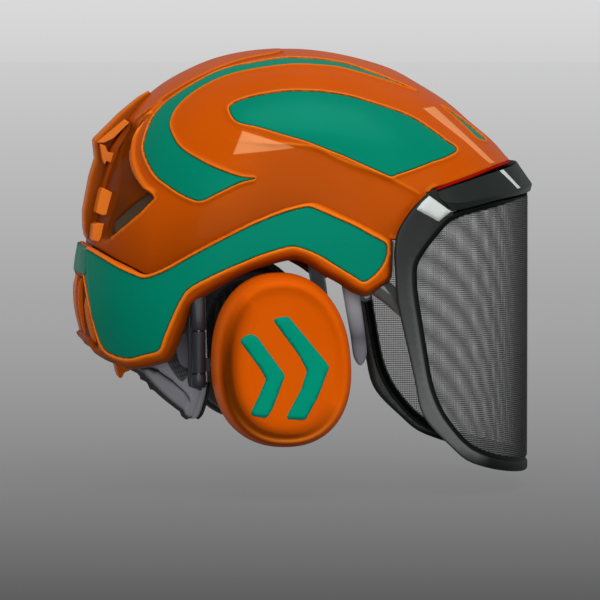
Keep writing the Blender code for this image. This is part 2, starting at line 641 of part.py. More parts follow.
# ---- ear cups -----------------------------------------------------------------------------
CUP_X, CUP_Z = -25.5, -30.0           # centre of the cup
CUP_HEIGHT, CUP_WIDTH = 109.0, 83.0
CUP_OUT = 121.0                       # y of the outer face
CUP_SEGMENTS = 24
CUP_PIVOT = (-66.0, 90.3, -34.0)      # tilt axis of the left cup, which runs along x

# Rings of the cup bodies: inset from the cup outline, y
CAP_RINGS = [(14, 116.6), (8, 115), (4.5, 109), (3.4, 93.4), (0.9, 93.4), (0, 97), (0.5, 110),
             (2.6, 117), (5.6, 120.4), (8, CUP_OUT), (10.8, 119.4)]
BASE_RINGS = [(1.2, 87.4), (1.2, 92.9), (15, 92.9), (15, 87.4)]
CUSHION_RINGS = [(3.5, 87), (1.8, 82.5), (3.8, 77), (9, 74), (15, 76), (18.5, 81), (17.5, 87)]
FOAM_RINGS = [(12, 94), (9, 98), (9, 107), (14, 112)]

CHEVRON_Y = (119.8, 120.8)
CHEVRONS = {   # x, z
    "front": [(-30.3, -4.7), (-22.3, -3.5), (2.6, -33.7), (-3.8, -50.8), (-11.8, -65.6),
              (-22.3, -64.9), (-13, -47.8), (-9.3, -36.1), (-14.3, -26.4)],
    "rear": [(-50.9, -17.1), (-45.7, -14), (-42, -15.3), (-24.7, -39.1), (-32.1, -58.1),
             (-35.8, -64.2), (-44.5, -62.4), (-39.5, -52.6), (-34.6, -41), (-38.3, -34.2)],
}


def cup_outline(inset):
    """Egg outline (x, z) of the cup: fuller below, leaning slightly back at the top."""
    outline = []
    for angle in turn(CUP_SEGMENTS):
        x, z = superellipse(angle, CUP_WIDTH / 2 - inset, CUP_HEIGHT / 2 - inset, 2.25)
        rise = z / (CUP_HEIGHT / 2)
        outline.append((CUP_X + x * (1 - 0.05 * rise) - 1.6 * rise, CUP_Z + z))
    return outline


def cup_body(name, rings, side, material, origin, hole=False):
    """Closed body through a stack of egg rings; hole leaves it annular."""
    bm = bmesh.new()
    loops = [[bm.verts.new(world(x, y * side, z)) for x, z in cup_outline(inset)]
             for inset, y in rings]
    for first, second in zip(loops, loops[1:]):
        ring_faces(bm, first, second)
    if hole:
        ring_faces(bm, loops[-1], loops[0])
    else:
        bm.faces.new(loops[0])
        bm.faces.new(list(reversed(loops[-1])))
    return link_solid(name, bm, material, origin)


def cup_pivot(side):
    return (CUP_PIVOT[0], CUP_PIVOT[1] * side, CUP_PIVOT[2])


def tilt_ends(xs, side):
    """Ends of a cylinder on the cup's tilt axis."""
    return [(x, CUP_PIVOT[1] * side, CUP_PIVOT[2]) for x in xs]


def build_ear_cup(label, side):
    pivot = cup_pivot(side)
    cup_body(f"cup_cap_{label}", CAP_RINGS, side, ORANGE, pivot)
    for place, outline in CHEVRONS.items():
        prism(f"cup_chevron_{place}_{label}", outline, CHEVRON_Y, GREEN, pivot, side)
    base = cup_body(f"cup_base_{label}", BASE_RINGS, side, BLACK, pivot, hole=True)
    ends = tilt_ends((CUP_PIVOT[0] - 9, CUP_PIVOT[0] + 9), side)
    boolean(base, cylinder(f"cut_base_{label}", ends, 1.7, segments=16))
    cup_body(f"cup_cushion_{label}", CUSHION_RINGS, side, DARK, pivot, hole=True)
    cup_body(f"cup_foam_{label}", FOAM_RINGS, side, DARK, pivot)


# ---- ear defender mounts: socket, bar, hinge and yoke -------------------------------------
HINGE_X, HINGE_Y = -74.5, 94.2        # vertical swing axis of an ear defender
HINGE_RADIUS = 3.6                    # yoke barrel, and half the width of the lugs
BARREL_Z = (-39, -13)
LUG_CLEARANCE, LUG_HEIGHT = 0.6, 7.4  # gap between barrel and lug, height of a lug
LOW_LUG_TOP = BARREL_Z[0] - LUG_CLEARANCE
HIGH_LUG_FOOT = BARREL_Z[1] + LUG_CLEARANCE
LUGS_Z = ((LOW_LUG_TOP - LUG_HEIGHT, LOW_LUG_TOP), (HIGH_LUG_FOOT, HIGH_LUG_FOOT + LUG_HEIGHT))
HINGE_PIN_STICKOUT = 1                # beyond the lugs
HINGE_HOLE_Z = (-60, 10)
BAR_HALF_WIDTH = 5.8
BAR_Y = (85, 88.4)
SOCKET_CLEARANCE = 0.4                # round the bar


def hinge_ends(zs, side):
    """Ends of a cylinder on the ear defender's swing axis."""
    return [(HINGE_X, HINGE_Y * side, z) for z in zs]


def about_hinge(half_width):
    return (HINGE_X - half_width, HINGE_X + half_width)


def build_muff_socket(label, side):
    socket = box(f"muff_socket_{label}", (-83.4, -65.8), (83, 90.4), (12, 29), side, BLACK)
    ys = (BAR_Y[0] - SOCKET_CLEARANCE, BAR_Y[1] + SOCKET_CLEARANCE)
    boolean(socket, box(f"cut_socket_{label}", about_hinge(BAR_HALF_WIDTH + SOCKET_CLEARANCE),
                        ys, (0, 50), side))


def build_muff_bar(label, side):
    """Flat bar with two lugs, and the pin through them."""
    origin = (HINGE_X, HINGE_Y * side, 0)
    bar = box(f"muff_bar_{label}", about_hinge(BAR_HALF_WIDTH), BAR_Y, (-48, 31), side,
              BLACK, origin)
    for k, zs in enumerate(LUGS_Z):
        lug = box(f"cut_lug_{k}_{label}", about_hinge(HINGE_RADIUS),
                  (87, HINGE_Y + HINGE_RADIUS), zs, side)
        boolean(bar, lug, 'UNION')
    boolean(bar, cylinder(f"cut_lug_hole_{label}", hinge_ends(HINGE_HOLE_Z, side), 1.8,
                          segments=16))
    zs = (LUGS_Z[0][0] - HINGE_PIN_STICKOUT, LUGS_Z[1][1] + HINGE_PIN_STICKOUT)
    cylinder(f"muff_pin_{label}", hinge_ends(zs, side), 1.45, STEEL, origin, segments=16)


def build_muff_yoke(label, side):
    """Barrel on the swing axis with an arm to the cup, and the cup's tilt pin."""
    yoke = cylinder(f"muff_yoke_{label}", hinge_ends(BARREL_Z, side), HINGE_RADIUS, BLACK,
                    (HINGE_X, HINGE_Y * side, 0), segments=20)
    arm = box(f"cut_yoke_arm_{label}", (HINGE_X, -67.0), (88.8, 92.6),
              (CUP_PIVOT[2] - 4, CUP_PIVOT[2] + 4), side)
    boolean(yoke, arm, 'UNION')
    boolean(yoke, cylinder(f"cut_yoke_hole_{label}", hinge_ends(HINGE_HOLE_Z, side), 1.85,
                           segments=16))
    boolean(yoke, cylinder(f"cut_yoke_tilt_{label}", tilt_ends((-71.9, -60), side), 1.6,
                           segments=16))
    cylinder(f"tilt_pin_{label}", tilt_ends((-71.5, -58), side), 1.3, STEEL, cup_pivot(side),
             segments=16)


# ---- nape cradle, its pad and straps, size dial -------------------------------------------
NAPE_STEPS = 14
NAPE_UPPER, NAPE_UPPER_SWEEP = (-108, -38), (27, 16)   # x, z at the centre; change to the ends
NAPE_LOWER, NAPE_LOWER_SWEEP = (-70, -73), (1, 24)
NAPE_STRAP = [(-88, 26), (-78, 26), (-73, -30), (-76, -38), (-84, -36), (-88, -20)]  # x, z
DIAL_Z = 21


def nape_plate(name, material, half_width, offset=0.0, upper_trim=0.0, lower_trim=0.0):
    """Curved plate, just under 3 mm thick, across the nape.

    offset moves it forward and up; the trims draw in its upper and lower edges.
    """
    stations = []
    for i in range(NAPE_STEPS + 1):
        across = math.sin((-1 + 2 * i / NAPE_STEPS) * math.pi / 2)
        out = abs(across)
        y = half_width * across * (1 - offset / 70)
        forward, up = offset * 0.7, offset * 0.75
        upper_x = NAPE_UPPER[0] + NAPE_UPPER_SWEEP[0] * out ** 2.2 + forward
        upper_z = NAPE_UPPER[1] + NAPE_UPPER_SWEEP[1] * out ** 2 - upper_trim + up
        lower_x = NAPE_LOWER[0] + NAPE_LOWER_SWEEP[0] * out ** 2 + forward
        lower_z = NAPE_LOWER[1] + NAPE_LOWER_SWEEP[1] * out ** 2 + lower_trim + up
        # two corners on the outer face, then two on the face towards the head
        stations.append([(upper_x, y, upper_z), (lower_x, y * 0.86, lower_z),
                         (lower_x + 1.6, y * 0.84, lower_z + 2.4),
                         (upper_x + 2.8, y * 0.97, upper_z + 1.2)])
    loft(name, stations, material)


def build_nape():
    nape_plate("nape_cradle", GREY, half_width=66.0)
    nape_plate("nape_pad", DARK, half_width=58, offset=5.3, upper_trim=3, lower_trim=5)
    for label, side in SIDES:
        prism(f"nape_strap_{label}", NAPE_STRAP, (69.6, 71.4), GREY, side=side)


def build_size_dial():
    cylinder("size_dial", ((-107.2, 0, DIAL_Z), (-117.5, 0, DIAL_Z)), 12, BLACK,
             (-110, 0, DIAL_Z), segments=20, end_radius=10.5)


# ---- assembly -----------------------------------------------------------------------------
def build_helmet():
    # one slot cutter serves the upper shell and both visor brackets
    slot = prism("cut_slot", stadium(VISOR_PIVOT, SLOT_TOP, SLOT_RADIUS))
    build_upper_shell(slot)
    build_lower_shell()
    build_rear_spine()
    build_rear_guard()
    build_lamp_clip()
    build_impact_liner()
    build_headband()
    build_suspension_web()
    build_crown_pad()
    build_visor_frame()
    build_visor_mesh()
    build_brow_bar()
    build_visor_seal()
    for label, side in SIDES:
        build_inlays(label, side)
        build_temple_arm(label, side)
        build_visor_mount(label, side, slot)
        build_stay_arm(label, side)
        build_ear_cup(label, side)
        build_muff_socket(label, side)
        build_muff_bar(label, side)
        build_muff_yoke(label, side)
    build_nape()
    build_size_dial()


build_helmet()
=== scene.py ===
"""Looks of a forestry helmet with a mesh visor and ear defenders, built over its CAD pieces.

The helmet stands upright and faces +X, with +Z up and the wearer's right at -Y. Shapes are
drawn in millimetres about ORIGIN, a point in the head. Most are drawn on the right and mirrored.
"""
import json
from math import cos, pi, radians, sin, sqrt

import bmesh
import bpy
import numpy as np
from mathutils import Matrix, Vector
from mathutils.geometry import delaunay_2d_cdt
from numpy import exp, interp

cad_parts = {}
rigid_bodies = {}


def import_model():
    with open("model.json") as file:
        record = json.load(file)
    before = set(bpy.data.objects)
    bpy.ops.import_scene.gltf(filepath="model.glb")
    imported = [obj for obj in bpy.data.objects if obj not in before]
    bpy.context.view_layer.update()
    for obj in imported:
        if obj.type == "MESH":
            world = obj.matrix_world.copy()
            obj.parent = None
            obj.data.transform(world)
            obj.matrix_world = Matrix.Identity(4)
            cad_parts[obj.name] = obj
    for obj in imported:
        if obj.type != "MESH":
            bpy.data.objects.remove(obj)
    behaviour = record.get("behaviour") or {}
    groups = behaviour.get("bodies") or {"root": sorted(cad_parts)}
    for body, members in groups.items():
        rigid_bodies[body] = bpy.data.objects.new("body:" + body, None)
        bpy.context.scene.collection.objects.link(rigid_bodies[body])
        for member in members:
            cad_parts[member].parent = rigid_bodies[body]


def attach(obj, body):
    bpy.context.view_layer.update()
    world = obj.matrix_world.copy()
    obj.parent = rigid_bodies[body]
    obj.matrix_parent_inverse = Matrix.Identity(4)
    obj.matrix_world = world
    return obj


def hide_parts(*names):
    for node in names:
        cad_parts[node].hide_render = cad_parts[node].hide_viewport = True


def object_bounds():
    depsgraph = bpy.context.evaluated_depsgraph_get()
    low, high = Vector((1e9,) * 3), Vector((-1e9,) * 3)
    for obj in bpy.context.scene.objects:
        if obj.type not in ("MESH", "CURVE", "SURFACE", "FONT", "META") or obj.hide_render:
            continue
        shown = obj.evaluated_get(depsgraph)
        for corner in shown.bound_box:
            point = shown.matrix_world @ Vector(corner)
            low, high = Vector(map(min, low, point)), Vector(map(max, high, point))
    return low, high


for old in list(bpy.data.objects):
    bpy.data.objects.remove(old, do_unlink=True)
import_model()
cad_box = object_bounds()
scene = bpy.context.scene
scene.view_settings.view_transform = 'Standard'
scene.view_settings.look = 'None'

MM = 0.001
ORIGIN = np.array([15.0, 0, -122.0])    # drawing origin in the scene, mm
CROWN_WALL = 2.6
RIM_PROUD = 1.9                         # how far the lower shell stands out from the crown
SCREEN_PITCH = 1.25
EAR_X, EAR_Z = -24.2, -30.7             # ear cup's centre
EAR_TALL, EAR_WIDE = 107.6, 86.0
EAR_FACE = 119.3                        # the cup face's distance from the middle plane
EAR_RING = 120.9                        # the same for the crest round the face
NAPE_HALF, NAPE_DEEP = 78.0, 50.0       # nape cradle laid flat
DIAL_Z = 21


# ------------------------------------------------------------ plain geometry
def clamp(values):
    return np.clip(values, 0, 1)


def gauss(distance, width):
    return exp(-(distance / width) ** 2)


def unit(vectors):
    return vectors / np.maximum(np.linalg.norm(vectors, axis=-1, keepdims=True), 1e-12)


def turn(count):
    """Evenly spaced angles of one full turn."""
    return np.linspace(0, 2 * pi, count + 1)[:-1]


def squircle(angle, power):
    """Cosine, sine and the factor that pushes a circle out to a superellipse."""
    c, s = np.cos(angle), np.sin(angle)
    return c, s, (abs(c) ** power + abs(s) ** power) ** (-1.0 / power)


def catmull_rom(a, b, c, d, f):
    return 0.5 * (2 * b + (c - a) * f + (2 * a - 5 * b + 4 * c - d) * f * f
                  + (3 * b - a - 3 * c + d) * f ** 3)


def smooth(points, steps=4, closed=True):
    """Spline through the points, with the given steps per span."""
    out, count = [], len(points)
    for i in range(count if closed else count - 1):
        four = [points[(i + k) % count if closed else max(0, min(count - 1, i + k))]
                for k in (-1, 0, 1, 2)]
        out += [tuple(catmull_rom(*values, j / steps) for values in zip(*four))
                for j in range(steps)]
    if not closed:
        out.append(tuple(points[-1]))
    return out


def resample(points, step, closed=True):
    points = np.asarray(points, float)
    path = np.vstack([points, points[:1]]) if closed else points
    spans = np.linalg.norm(np.diff(path, axis=0), axis=1)
    length = np.concatenate([[0], np.cumsum(spans)])
    count = max(4, int(round(length[-1] / step)))
    at = np.linspace(0, length[-1], count + 1)
    out = np.stack([interp(at, length, column) for column in path.T], -1)
    return out[:-1] if closed else out


def open_curve(points, steps, step):
    return resample(smooth(points, steps, False), step, closed=False)


def inside(points, outline):
    """Which 2-D points lie inside a closed outline."""
    outline = np.asarray(outline, float)
    x, y = points.T
    result = np.zeros(len(points), bool)
    for (x0, y0), (x1, y1) in zip(outline, np.roll(outline, -1, 0)):
        if y0 != y1:
            crosses = (y0 > y) != (y1 > y)
            result ^= crosses & (x < (x1 - x0) * (y - y0) / (y1 - y0) + x0)
    return result


def distance_to(points, line, closed=True):
    """Distance of points to a polyline, in 2-D or 3-D, worked out in batches."""
    start = np.asarray(line, float)
    end = np.roll(start, -1, 0) if closed else start[1:]
    start = start if closed else start[:-1]
    span = end - start
    square = np.maximum((span * span).sum(1), 1e-12)
    out = np.empty(len(points))
    for i in range(0, len(points), 1500):
        gap = points[i:i + 1500, None, :] - start[None]
        f = clamp((gap * span).sum(-1) / square)
        out[i:i + 1500] = np.sqrt((((gap - f[..., None] * span) ** 2).sum(-1)).min(1))
    return out


def signed_area(points):
    x, y = points.T
    return 0.5 * float((x * np.roll(y, -1) - np.roll(x, -1) * y).sum())


def anticlockwise(points):
    points = np.asarray(points)
    return points[::-1] if signed_area(points) < 0 else points


def rounded_rectangle(x0, x1, y0, y1, radius, steps):
    half_x, half_y = (x1 - x0) / 2, (y1 - y0) / 2
    points = []
    for sx, sy, start in ((1, 1, 0), (-1, 1, 90), (-1, -1, 180), (1, -1, 270)):
        for k in range(steps + 1):
            q = radians(start + 90 * k / steps)
            points.append(((x0 + x1) / 2 + sx * (half_x - radius) + radius * cos(q),
                           (y0 + y1) / 2 + sy * (half_y - radius) + radius * sin(q)))
    return points


def triangulate(boundary, loops, spacing, lines=()):
    """Triangles filling a 2-D boundary, with edges along the loops and open lines inside it."""
    groups = [boundary]
    count = len(boundary)
    edges = [(i, (i + 1) % count) for i in range(count)]
    base = count
    for closed, group in ((True, loops), (False, lines)):
        for line in group:
            ok = inside(line, boundary)
            count = len(line)
            for i in range(count if closed else count - 1):
                j = (i + 1) % count
                if ok[i] and ok[j]:
                    edges.append((base + i, base + j))
            groups.append(np.where(ok[:, None], line, boundary[0]))
            base += count
    fixed = np.vstack(groups)
    low, high = fixed.min(0), fixed.max(0)
    rows = []
    for k, y in enumerate(np.arange(low[1], high[1], spacing * 0.866)):
        x = np.arange(low[0] + (k % 2) * spacing / 2, high[0], spacing)
        rows.append(np.stack([x, np.full(len(x), y)], -1))
    filling = np.concatenate(rows)
    filling = filling[inside(filling, boundary)]
    # filling points keep clear of the cells that hold fixed points, and of their neighbours
    cell = spacing * 0.62
    used = set()
    for q in np.round(fixed / cell).astype(int):
        for dx, dy in ((0, 0), (1, 0), (-1, 0), (0, 1), (0, -1)):
            used.add((q[0] + dx, q[1] + dy))
    keep = [tuple(q) not in used for q in np.round(filling / cell).astype(int)]
    points = np.vstack([fixed, filling[np.array(keep, bool)]])
    out = delaunay_2d_cdt([Vector(p) for p in points.tolist()], edges, [], 1, 1e-4)
    flat = np.array([tuple(v) for v in out[0]], float)
    return flat, [tuple(f) for f in out[2] if len(f) == 3]


def cut_holes(flat, faces, outlines):
    """Drop the triangles whose centres lie inside any of the outlines."""
    centres = flat[np.array(faces)].mean(1)
    cut = np.any([inside(centres, outline) for outline in outlines], axis=0)
    return [f for f, gone in zip(faces, cut) if not gone]


def grid_faces(rows, columns, ring=True, loop=False, caps=False, flip=False):
    """Quads of a point grid: ring closes each row, loop joins the last row to the first."""
    faces = []
    for i in range(rows if loop else rows - 1):
        j = (i + 1) % rows
        for k in range(columns if ring else columns - 1):
            m = (k + 1) % columns
            face = (i * columns + k, i * columns + m, j * columns + m, j * columns + k)
            faces.append(face[:1] + face[:0:-1] if flip else face)
    if caps:
        first = tuple(range(columns))
        last = tuple(range((rows - 1) * columns, rows * columns))
        faces += [first, last[::-1]] if flip else [first[::-1], last]
    return faces


# ------------------------------------------------------------ shell surface
# One row per level, crown down: height z, rear x, front x, half width, superellipse power.
LEVELS = np.array([
    (160.6, -8, -8, 0, 2.0), (159.2, -31, 13, 20, 2.0), (155.0, -52, 35, 39, 2.05),
    (148.0, -70, 57.5, 56, 2.1), (138.5, -87, 75, 70, 2.2), (127, -101, 93, 81, 2.3),
    (114, -112, 108, 89.5, 2.4), (100, -120.5, 124, 95.5, 2.5), (84, -127, 135.5, 99.5, 2.6),
    (66, -132, 142.5, 102.3, 2.65), (46, -137, 147, 104.2, 2.65), (24, -141, 149, 105.3, 2.65),
    (0, -143, 150, 106, 2.65), (-22, -140.5, 150, 106, 2.65), (-46, -134, 150, 105, 2.65)], float)
# the row past the crown is the first full level turned over
PADDED = np.vstack([LEVELS[1][[0, 2, 1, 3, 4]] * [1, 1, 1, -1, 1], LEVELS,
                    2 * LEVELS[-1] - LEVELS[-2]])


def station(level):
    """The columns of LEVELS at a fractional level."""
    level = np.asarray(level, float)
    i = np.clip(np.floor(level).astype(int), 0, len(LEVELS) - 2)
    return catmull_rom(*(PADDED[i + k] for k in range(4)), (level - i)[..., None])


def shell_point(level, angle):
    row = station(level)
    z, rear, front, half, power = [row[..., k] for k in range(5)]
    c, s, k = squircle(angle, power)
    return np.stack([(rear + front) / 2 + (front - rear) / 2 * k * c, half * k * s, z], -1)


def shell_normal(level, angle):
    d = 0.012
    around = shell_point(level, angle + d) - shell_point(level, angle - d)
    down = (shell_point(np.minimum(level + d, 14), angle)
            - shell_point(np.maximum(level - d, 0), angle))
    normal = unit(np.cross(down, around))
    up = np.broadcast_to(np.array([0, 0, 1.0]), normal.shape)
    f = clamp((np.asarray(level) - 0.02) / 0.10)[..., None]
    return unit(normal * f + up * (1 - f))


LEVEL_TABLE = np.linspace(0, 14, 2801)
_rows = station(LEVEL_TABLE)
HEIGHT_TABLE = _rows[:, 0]
# distance from the crown down the side of the shell
REACH_TABLE = np.concatenate([[0], np.cumsum(np.hypot(np.diff(_rows[:, 0]), np.diff(_rows[:, 3])))])


def level_at(z):
    return interp(-np.asarray(z, float), -HEIGHT_TABLE, LEVEL_TABLE)


def angle_at(x, y, level):
    row = station(level)
    middle, half = (row[..., 1] + row[..., 2]) / 2, (row[..., 2] - row[..., 1]) / 2
    return np.arctan2(y / np.maximum(row[..., 3], 1e-6), (x - middle) / np.maximum(half, 1e-6))


def side_ratio(side):
    """Place of side-view points between the shell's rear (-1) and front (1)."""
    row = station(level_at(side[:, 1]))
    return (side[:, 0] - (row[:, 1] + row[:, 2]) / 2) / ((row[:, 2] - row[:, 1]) / 2)


def side_to_shell(side):
    """Level and angle of side-view points (x, z) on the shell's right."""
    level = level_at(side[:, 1])
    power = station(level)[:, 4]
    u = np.clip(side_ratio(side), -1, 1)
    return level, np.arctan2(-(1 - np.abs(u) ** power) ** (1 / power), u)


def plan_level(x, y):
    """Level at which the shell's outline passes through plan points."""
    low, high = np.zeros(len(x)), np.full(len(x), 9.0)
    for _ in range(40):
        level = (low + high) / 2
        row = station(level)
        middle, half = (row[:, 1] + row[:, 2]) / 2, (row[:, 2] - row[:, 1]) / 2
        within = (np.abs((x - middle) / np.maximum(half, 1e-6)) ** row[:, 4]
                  + np.abs(y / np.maximum(row[:, 3], 1e-6)) ** row[:, 4]) < 1
        high = np.where(within, level, high)
        low = np.where(within, low, level)
    return low


def project(points):
    """Level and angle of the closest points on the shell."""
    points = np.asarray(points, float)
    foot = points.copy()
    for _ in range(6):
        level = level_at(foot[:, 2])
        angle = angle_at(foot[:, 0], foot[:, 1], level)
        surface, normal = shell_point(level, angle), shell_normal(level, angle)
        height = ((points - surface) * normal).sum(1)
        foot = surface + (points - surface - normal * height[:, None])
    return level, angle


def flatten(level, angle):
    """Shell surface unrolled round the crown to 2-D."""
    reach = interp(level, LEVEL_TABLE, REACH_TABLE)
    return np.stack([reach * np.cos(angle), reach * np.sin(angle)], -1)


def unflatten(flat):
    x, y = flat.T
    return interp(np.hypot(x, y), REACH_TABLE, LEVEL_TABLE), np.arctan2(y, x)


# A shell curve is a (levels, angles) pair.
def shell_loop(outline, step=1.4):
    """Closed side outline (x, z) as a shell curve."""
    return project(resample(shell_point(*side_to_shell(resample(outline, 0.6))), step))


def offset_loop(curve, distance):
    """The closed curve moved along the shell, outwards when distance is above 0."""
    surface, normal = shell_point(*curve), shell_normal(*curve)
    tangent = unit(np.roll(surface, -1, 0) - np.roll(surface, 1, 0))
    across = np.cross(tangent, normal)
    if signed_area(flatten(*curve)) < 0:
        across = -across
    return project(surface + across * distance)


def contours(curve, *distances):
    return [flatten(*(offset_loop(curve, d) if d else curve)) for d in distances]


def open_contours(curve, *distances):
    """Open lines beside the curve: above 0 is to its left, seen from outside."""
    surface, normal = shell_point(*curve), shell_normal(*curve)
    left = np.cross(normal, unit(np.gradient(surface, axis=0)))
    return [flatten(*project(surface + left * d)) for d in distances]


def edge_contours(curve, *distances):
    """Lines on both sides of an edge curve, short of its ends."""
    trimmed = [part[2:-2] for part in curve]
    return open_contours(trimmed, *(sign * d for d in distances for sign in (1, -1)))


def shell_edge(outline):
    """Open side outline as a shell curve, from the rear middle line to its end or the front."""
    side = resample(outline, 0.4, closed=False)
    on_shell = np.abs(side_ratio(side)) < 0.99995
    first, last = np.argmax(on_shell), len(side) - 1 - np.argmax(on_shell[::-1])
    reaches_front = last < len(side) - 1
    points = shell_point(*side_to_shell(side[first:last + 1]))
    rear = shell_point(level_at(side[first - 1:first, 1]), np.array([pi]))
    points = np.vstack([rear, points])
    points[0, 1] = 0
    if reaches_front:
        front = shell_point(level_at(side[last + 1:last + 2, 1]), np.array([0.0]))
        points = np.vstack([points, front])
        points[-1, 1] = 0
    level, angle = project(resample(points, 1.6, closed=False))
    angle[0] = -pi
    if reaches_front:
        angle[-1] = 0.0
    return level, angle


def centre_line(start, end, step):
    x = np.linspace(start, end, max(2, int(abs(end - start) / step)) + 1)[1:-1]
    return np.stack([x, np.zeros(len(x))], -1)


def nearness(flat, surface, curve):
    """Distance of surface points to a closed shell curve, and which of them it holds."""
    return distance_to(surface, shell_point(*curve)), inside(flat, flatten(*curve))


def lifted(flat, lift):
    """Surface points raised along the normal; those of the middle line stay on it."""
    curve = unflatten(flat)
    points = shell_point(*curve) + shell_normal(*curve) * lift[:, None]
    points[np.abs(flat[:, 1]) < 1e-6, 1] = 0.0
    return points


# ------------------------------------------------------------ meshes and hand-over
LOOKS = bpy.data.collections.new("looks")
scene.collection.children.link(LOOKS)


def to_drawing(points):
    return points / MM - ORIGIN


def link(name, data):
    ob = bpy.data.objects.new(name, data)
    LOOKS.objects.link(ob)
    return ob


def paint(ob, **fields):
    """Point attributes, each from one value or one value per vertex."""
    for name, values in fields.items():
        attribute = ob.data.attributes.new(name, 'FLOAT', 'POINT')
        attribute.data.foreach_set(
            "value", np.full(len(ob.data.vertices), values, np.float32))


def make(name, points, faces, material, sharp=42.0, **fields):
    """Mesh object from points in drawing mm; sharp is the angle of its hard edges."""
    mesh = bpy.data.meshes.new(name)
    mesh.from_pydata(((np.asarray(points, float) + ORIGIN) * MM).tolist(), [], faces)
    mesh.update()
    ob = link(name, mesh)
    paint(ob, **fields)
    mesh.materials.append(material)
    mesh.shade_smooth()
    if sharp:
        mesh.set_sharp_from_angle(angle=radians(sharp))
    return ob


def from_bmesh(name, bm, material, sharp=42.0):
    bmesh.ops.recalc_face_normals(bm, faces=bm.faces)
    points = [tuple(v.co) for v in bm.verts]
    bm.verts.index_update()
    faces = [tuple(v.index for v in f.verts) for f in bm.faces]
    bm.free()
    return make(name, points, faces, material, sharp)


def make_outward(name, points, faces, material, sharp=42.0):
    """Mesh object whose faces are turned outwards."""
    bm = bmesh.new()
    verts = [bm.verts.new(p) for p in points]
    for face in faces:
        bm.faces.new([verts[i] for i in face])
    return from_bmesh(name, bm, material, sharp)


def loft(name, rings, material, sharp=60, loop=False, flip=False):
    """Closed body through rings of points, capped unless it loops back on itself."""
    faces = grid_faces(len(rings), len(rings[0]), loop=loop, caps=not loop, flip=flip)
    return make_outward(name, np.concatenate(rings), faces, material, sharp)


def raw_loft(name, rings, material, sharp, **fields):
    """Capped loft whose faces keep the winding of the rings."""
    faces = grid_faces(len(rings), len(rings[0]), caps=True)
    return make(name, np.concatenate(rings), faces, material, sharp, **fields)


def cone(name, material, place, segments, radii, depth, sharp=42.0):
    bm = bmesh.new()
    bmesh.ops.create_cone(bm, cap_ends=True, segments=segments, radius1=radii[0],
                          radius2=radii[1], depth=depth, matrix=place)
    return from_bmesh(name, bm, material, sharp)


def prism(name, outline, y0, y1, material, width, segments, sharp=42.0):
    """Side outline (x, z) extruded across y, with bevelled edges of the given width."""
    count = len(outline)
    points = [(x, y, z) for y in (y0, y1) for x, z in outline]
    faces = [tuple(range(count)), tuple(reversed(range(count, 2 * count)))]
    faces += [((i + 1) % count, i, count + i, count + (i + 1) % count) for i in range(count)]
    ob = make_outward(name, points, faces, material, sharp)
    bevel(ob, width, segments)
    return ob


def modify(ob, kind, **settings):
    modifier = ob.modifiers.new(kind.lower(), kind)
    for key, value in settings.items():
        setattr(modifier, key, value)
    return modifier


def mirror(ob):
    modify(ob, 'MIRROR', use_axis=(False, True, False), merge_threshold=0.00005)


def thicken(ob, thickness, offset=-1.0, even=True):
    modify(ob, 'SOLIDIFY', thickness=thickness * MM, offset=offset, use_even_offset=even,
           use_rim=True)


def bevel(ob, width, segments=2, angle=30):
    modify(ob, 'BEVEL', width=width * MM, segments=segments, limit_method='ANGLE',
           angle_limit=radians(angle), use_clamp_overlap=True)


def bake(ob):
    """Apply every modifier."""
    graph = bpy.context.evaluated_depsgraph_get()
    mesh = bpy.data.meshes.new_from_object(ob.evaluated_get(graph))
    ob.modifiers.clear()
    ob.data = mesh


def put(ob, body, slot, *nodes):
    """Fix the piece to a body and hide the CAD nodes it replaces; the finish slot is not used."""
    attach(ob, body)
    if nodes:
        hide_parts(*nodes)


def pair(right, body, slot, node=None):
    """Hand over a right piece and its mirrored twin; {} in body and node is the side."""
    bake(right)
    mesh = right.data.copy()
    mesh.name = right.name.replace("_right", "_left")
    bm = bmesh.new()
    bm.from_mesh(mesh)
    for v in bm.verts:
        v.co.y = -v.co.y
    bmesh.ops.reverse_faces(bm, faces=bm.faces)
    bm.to_mesh(mesh)
    bm.free()
    left = link(right.name.replace("_right", "_left"), mesh)
    for ob, side in ((right, "right"), (left, "left")):
        put(ob, body.format(side), slot, *([node.format(side)] if node else []))


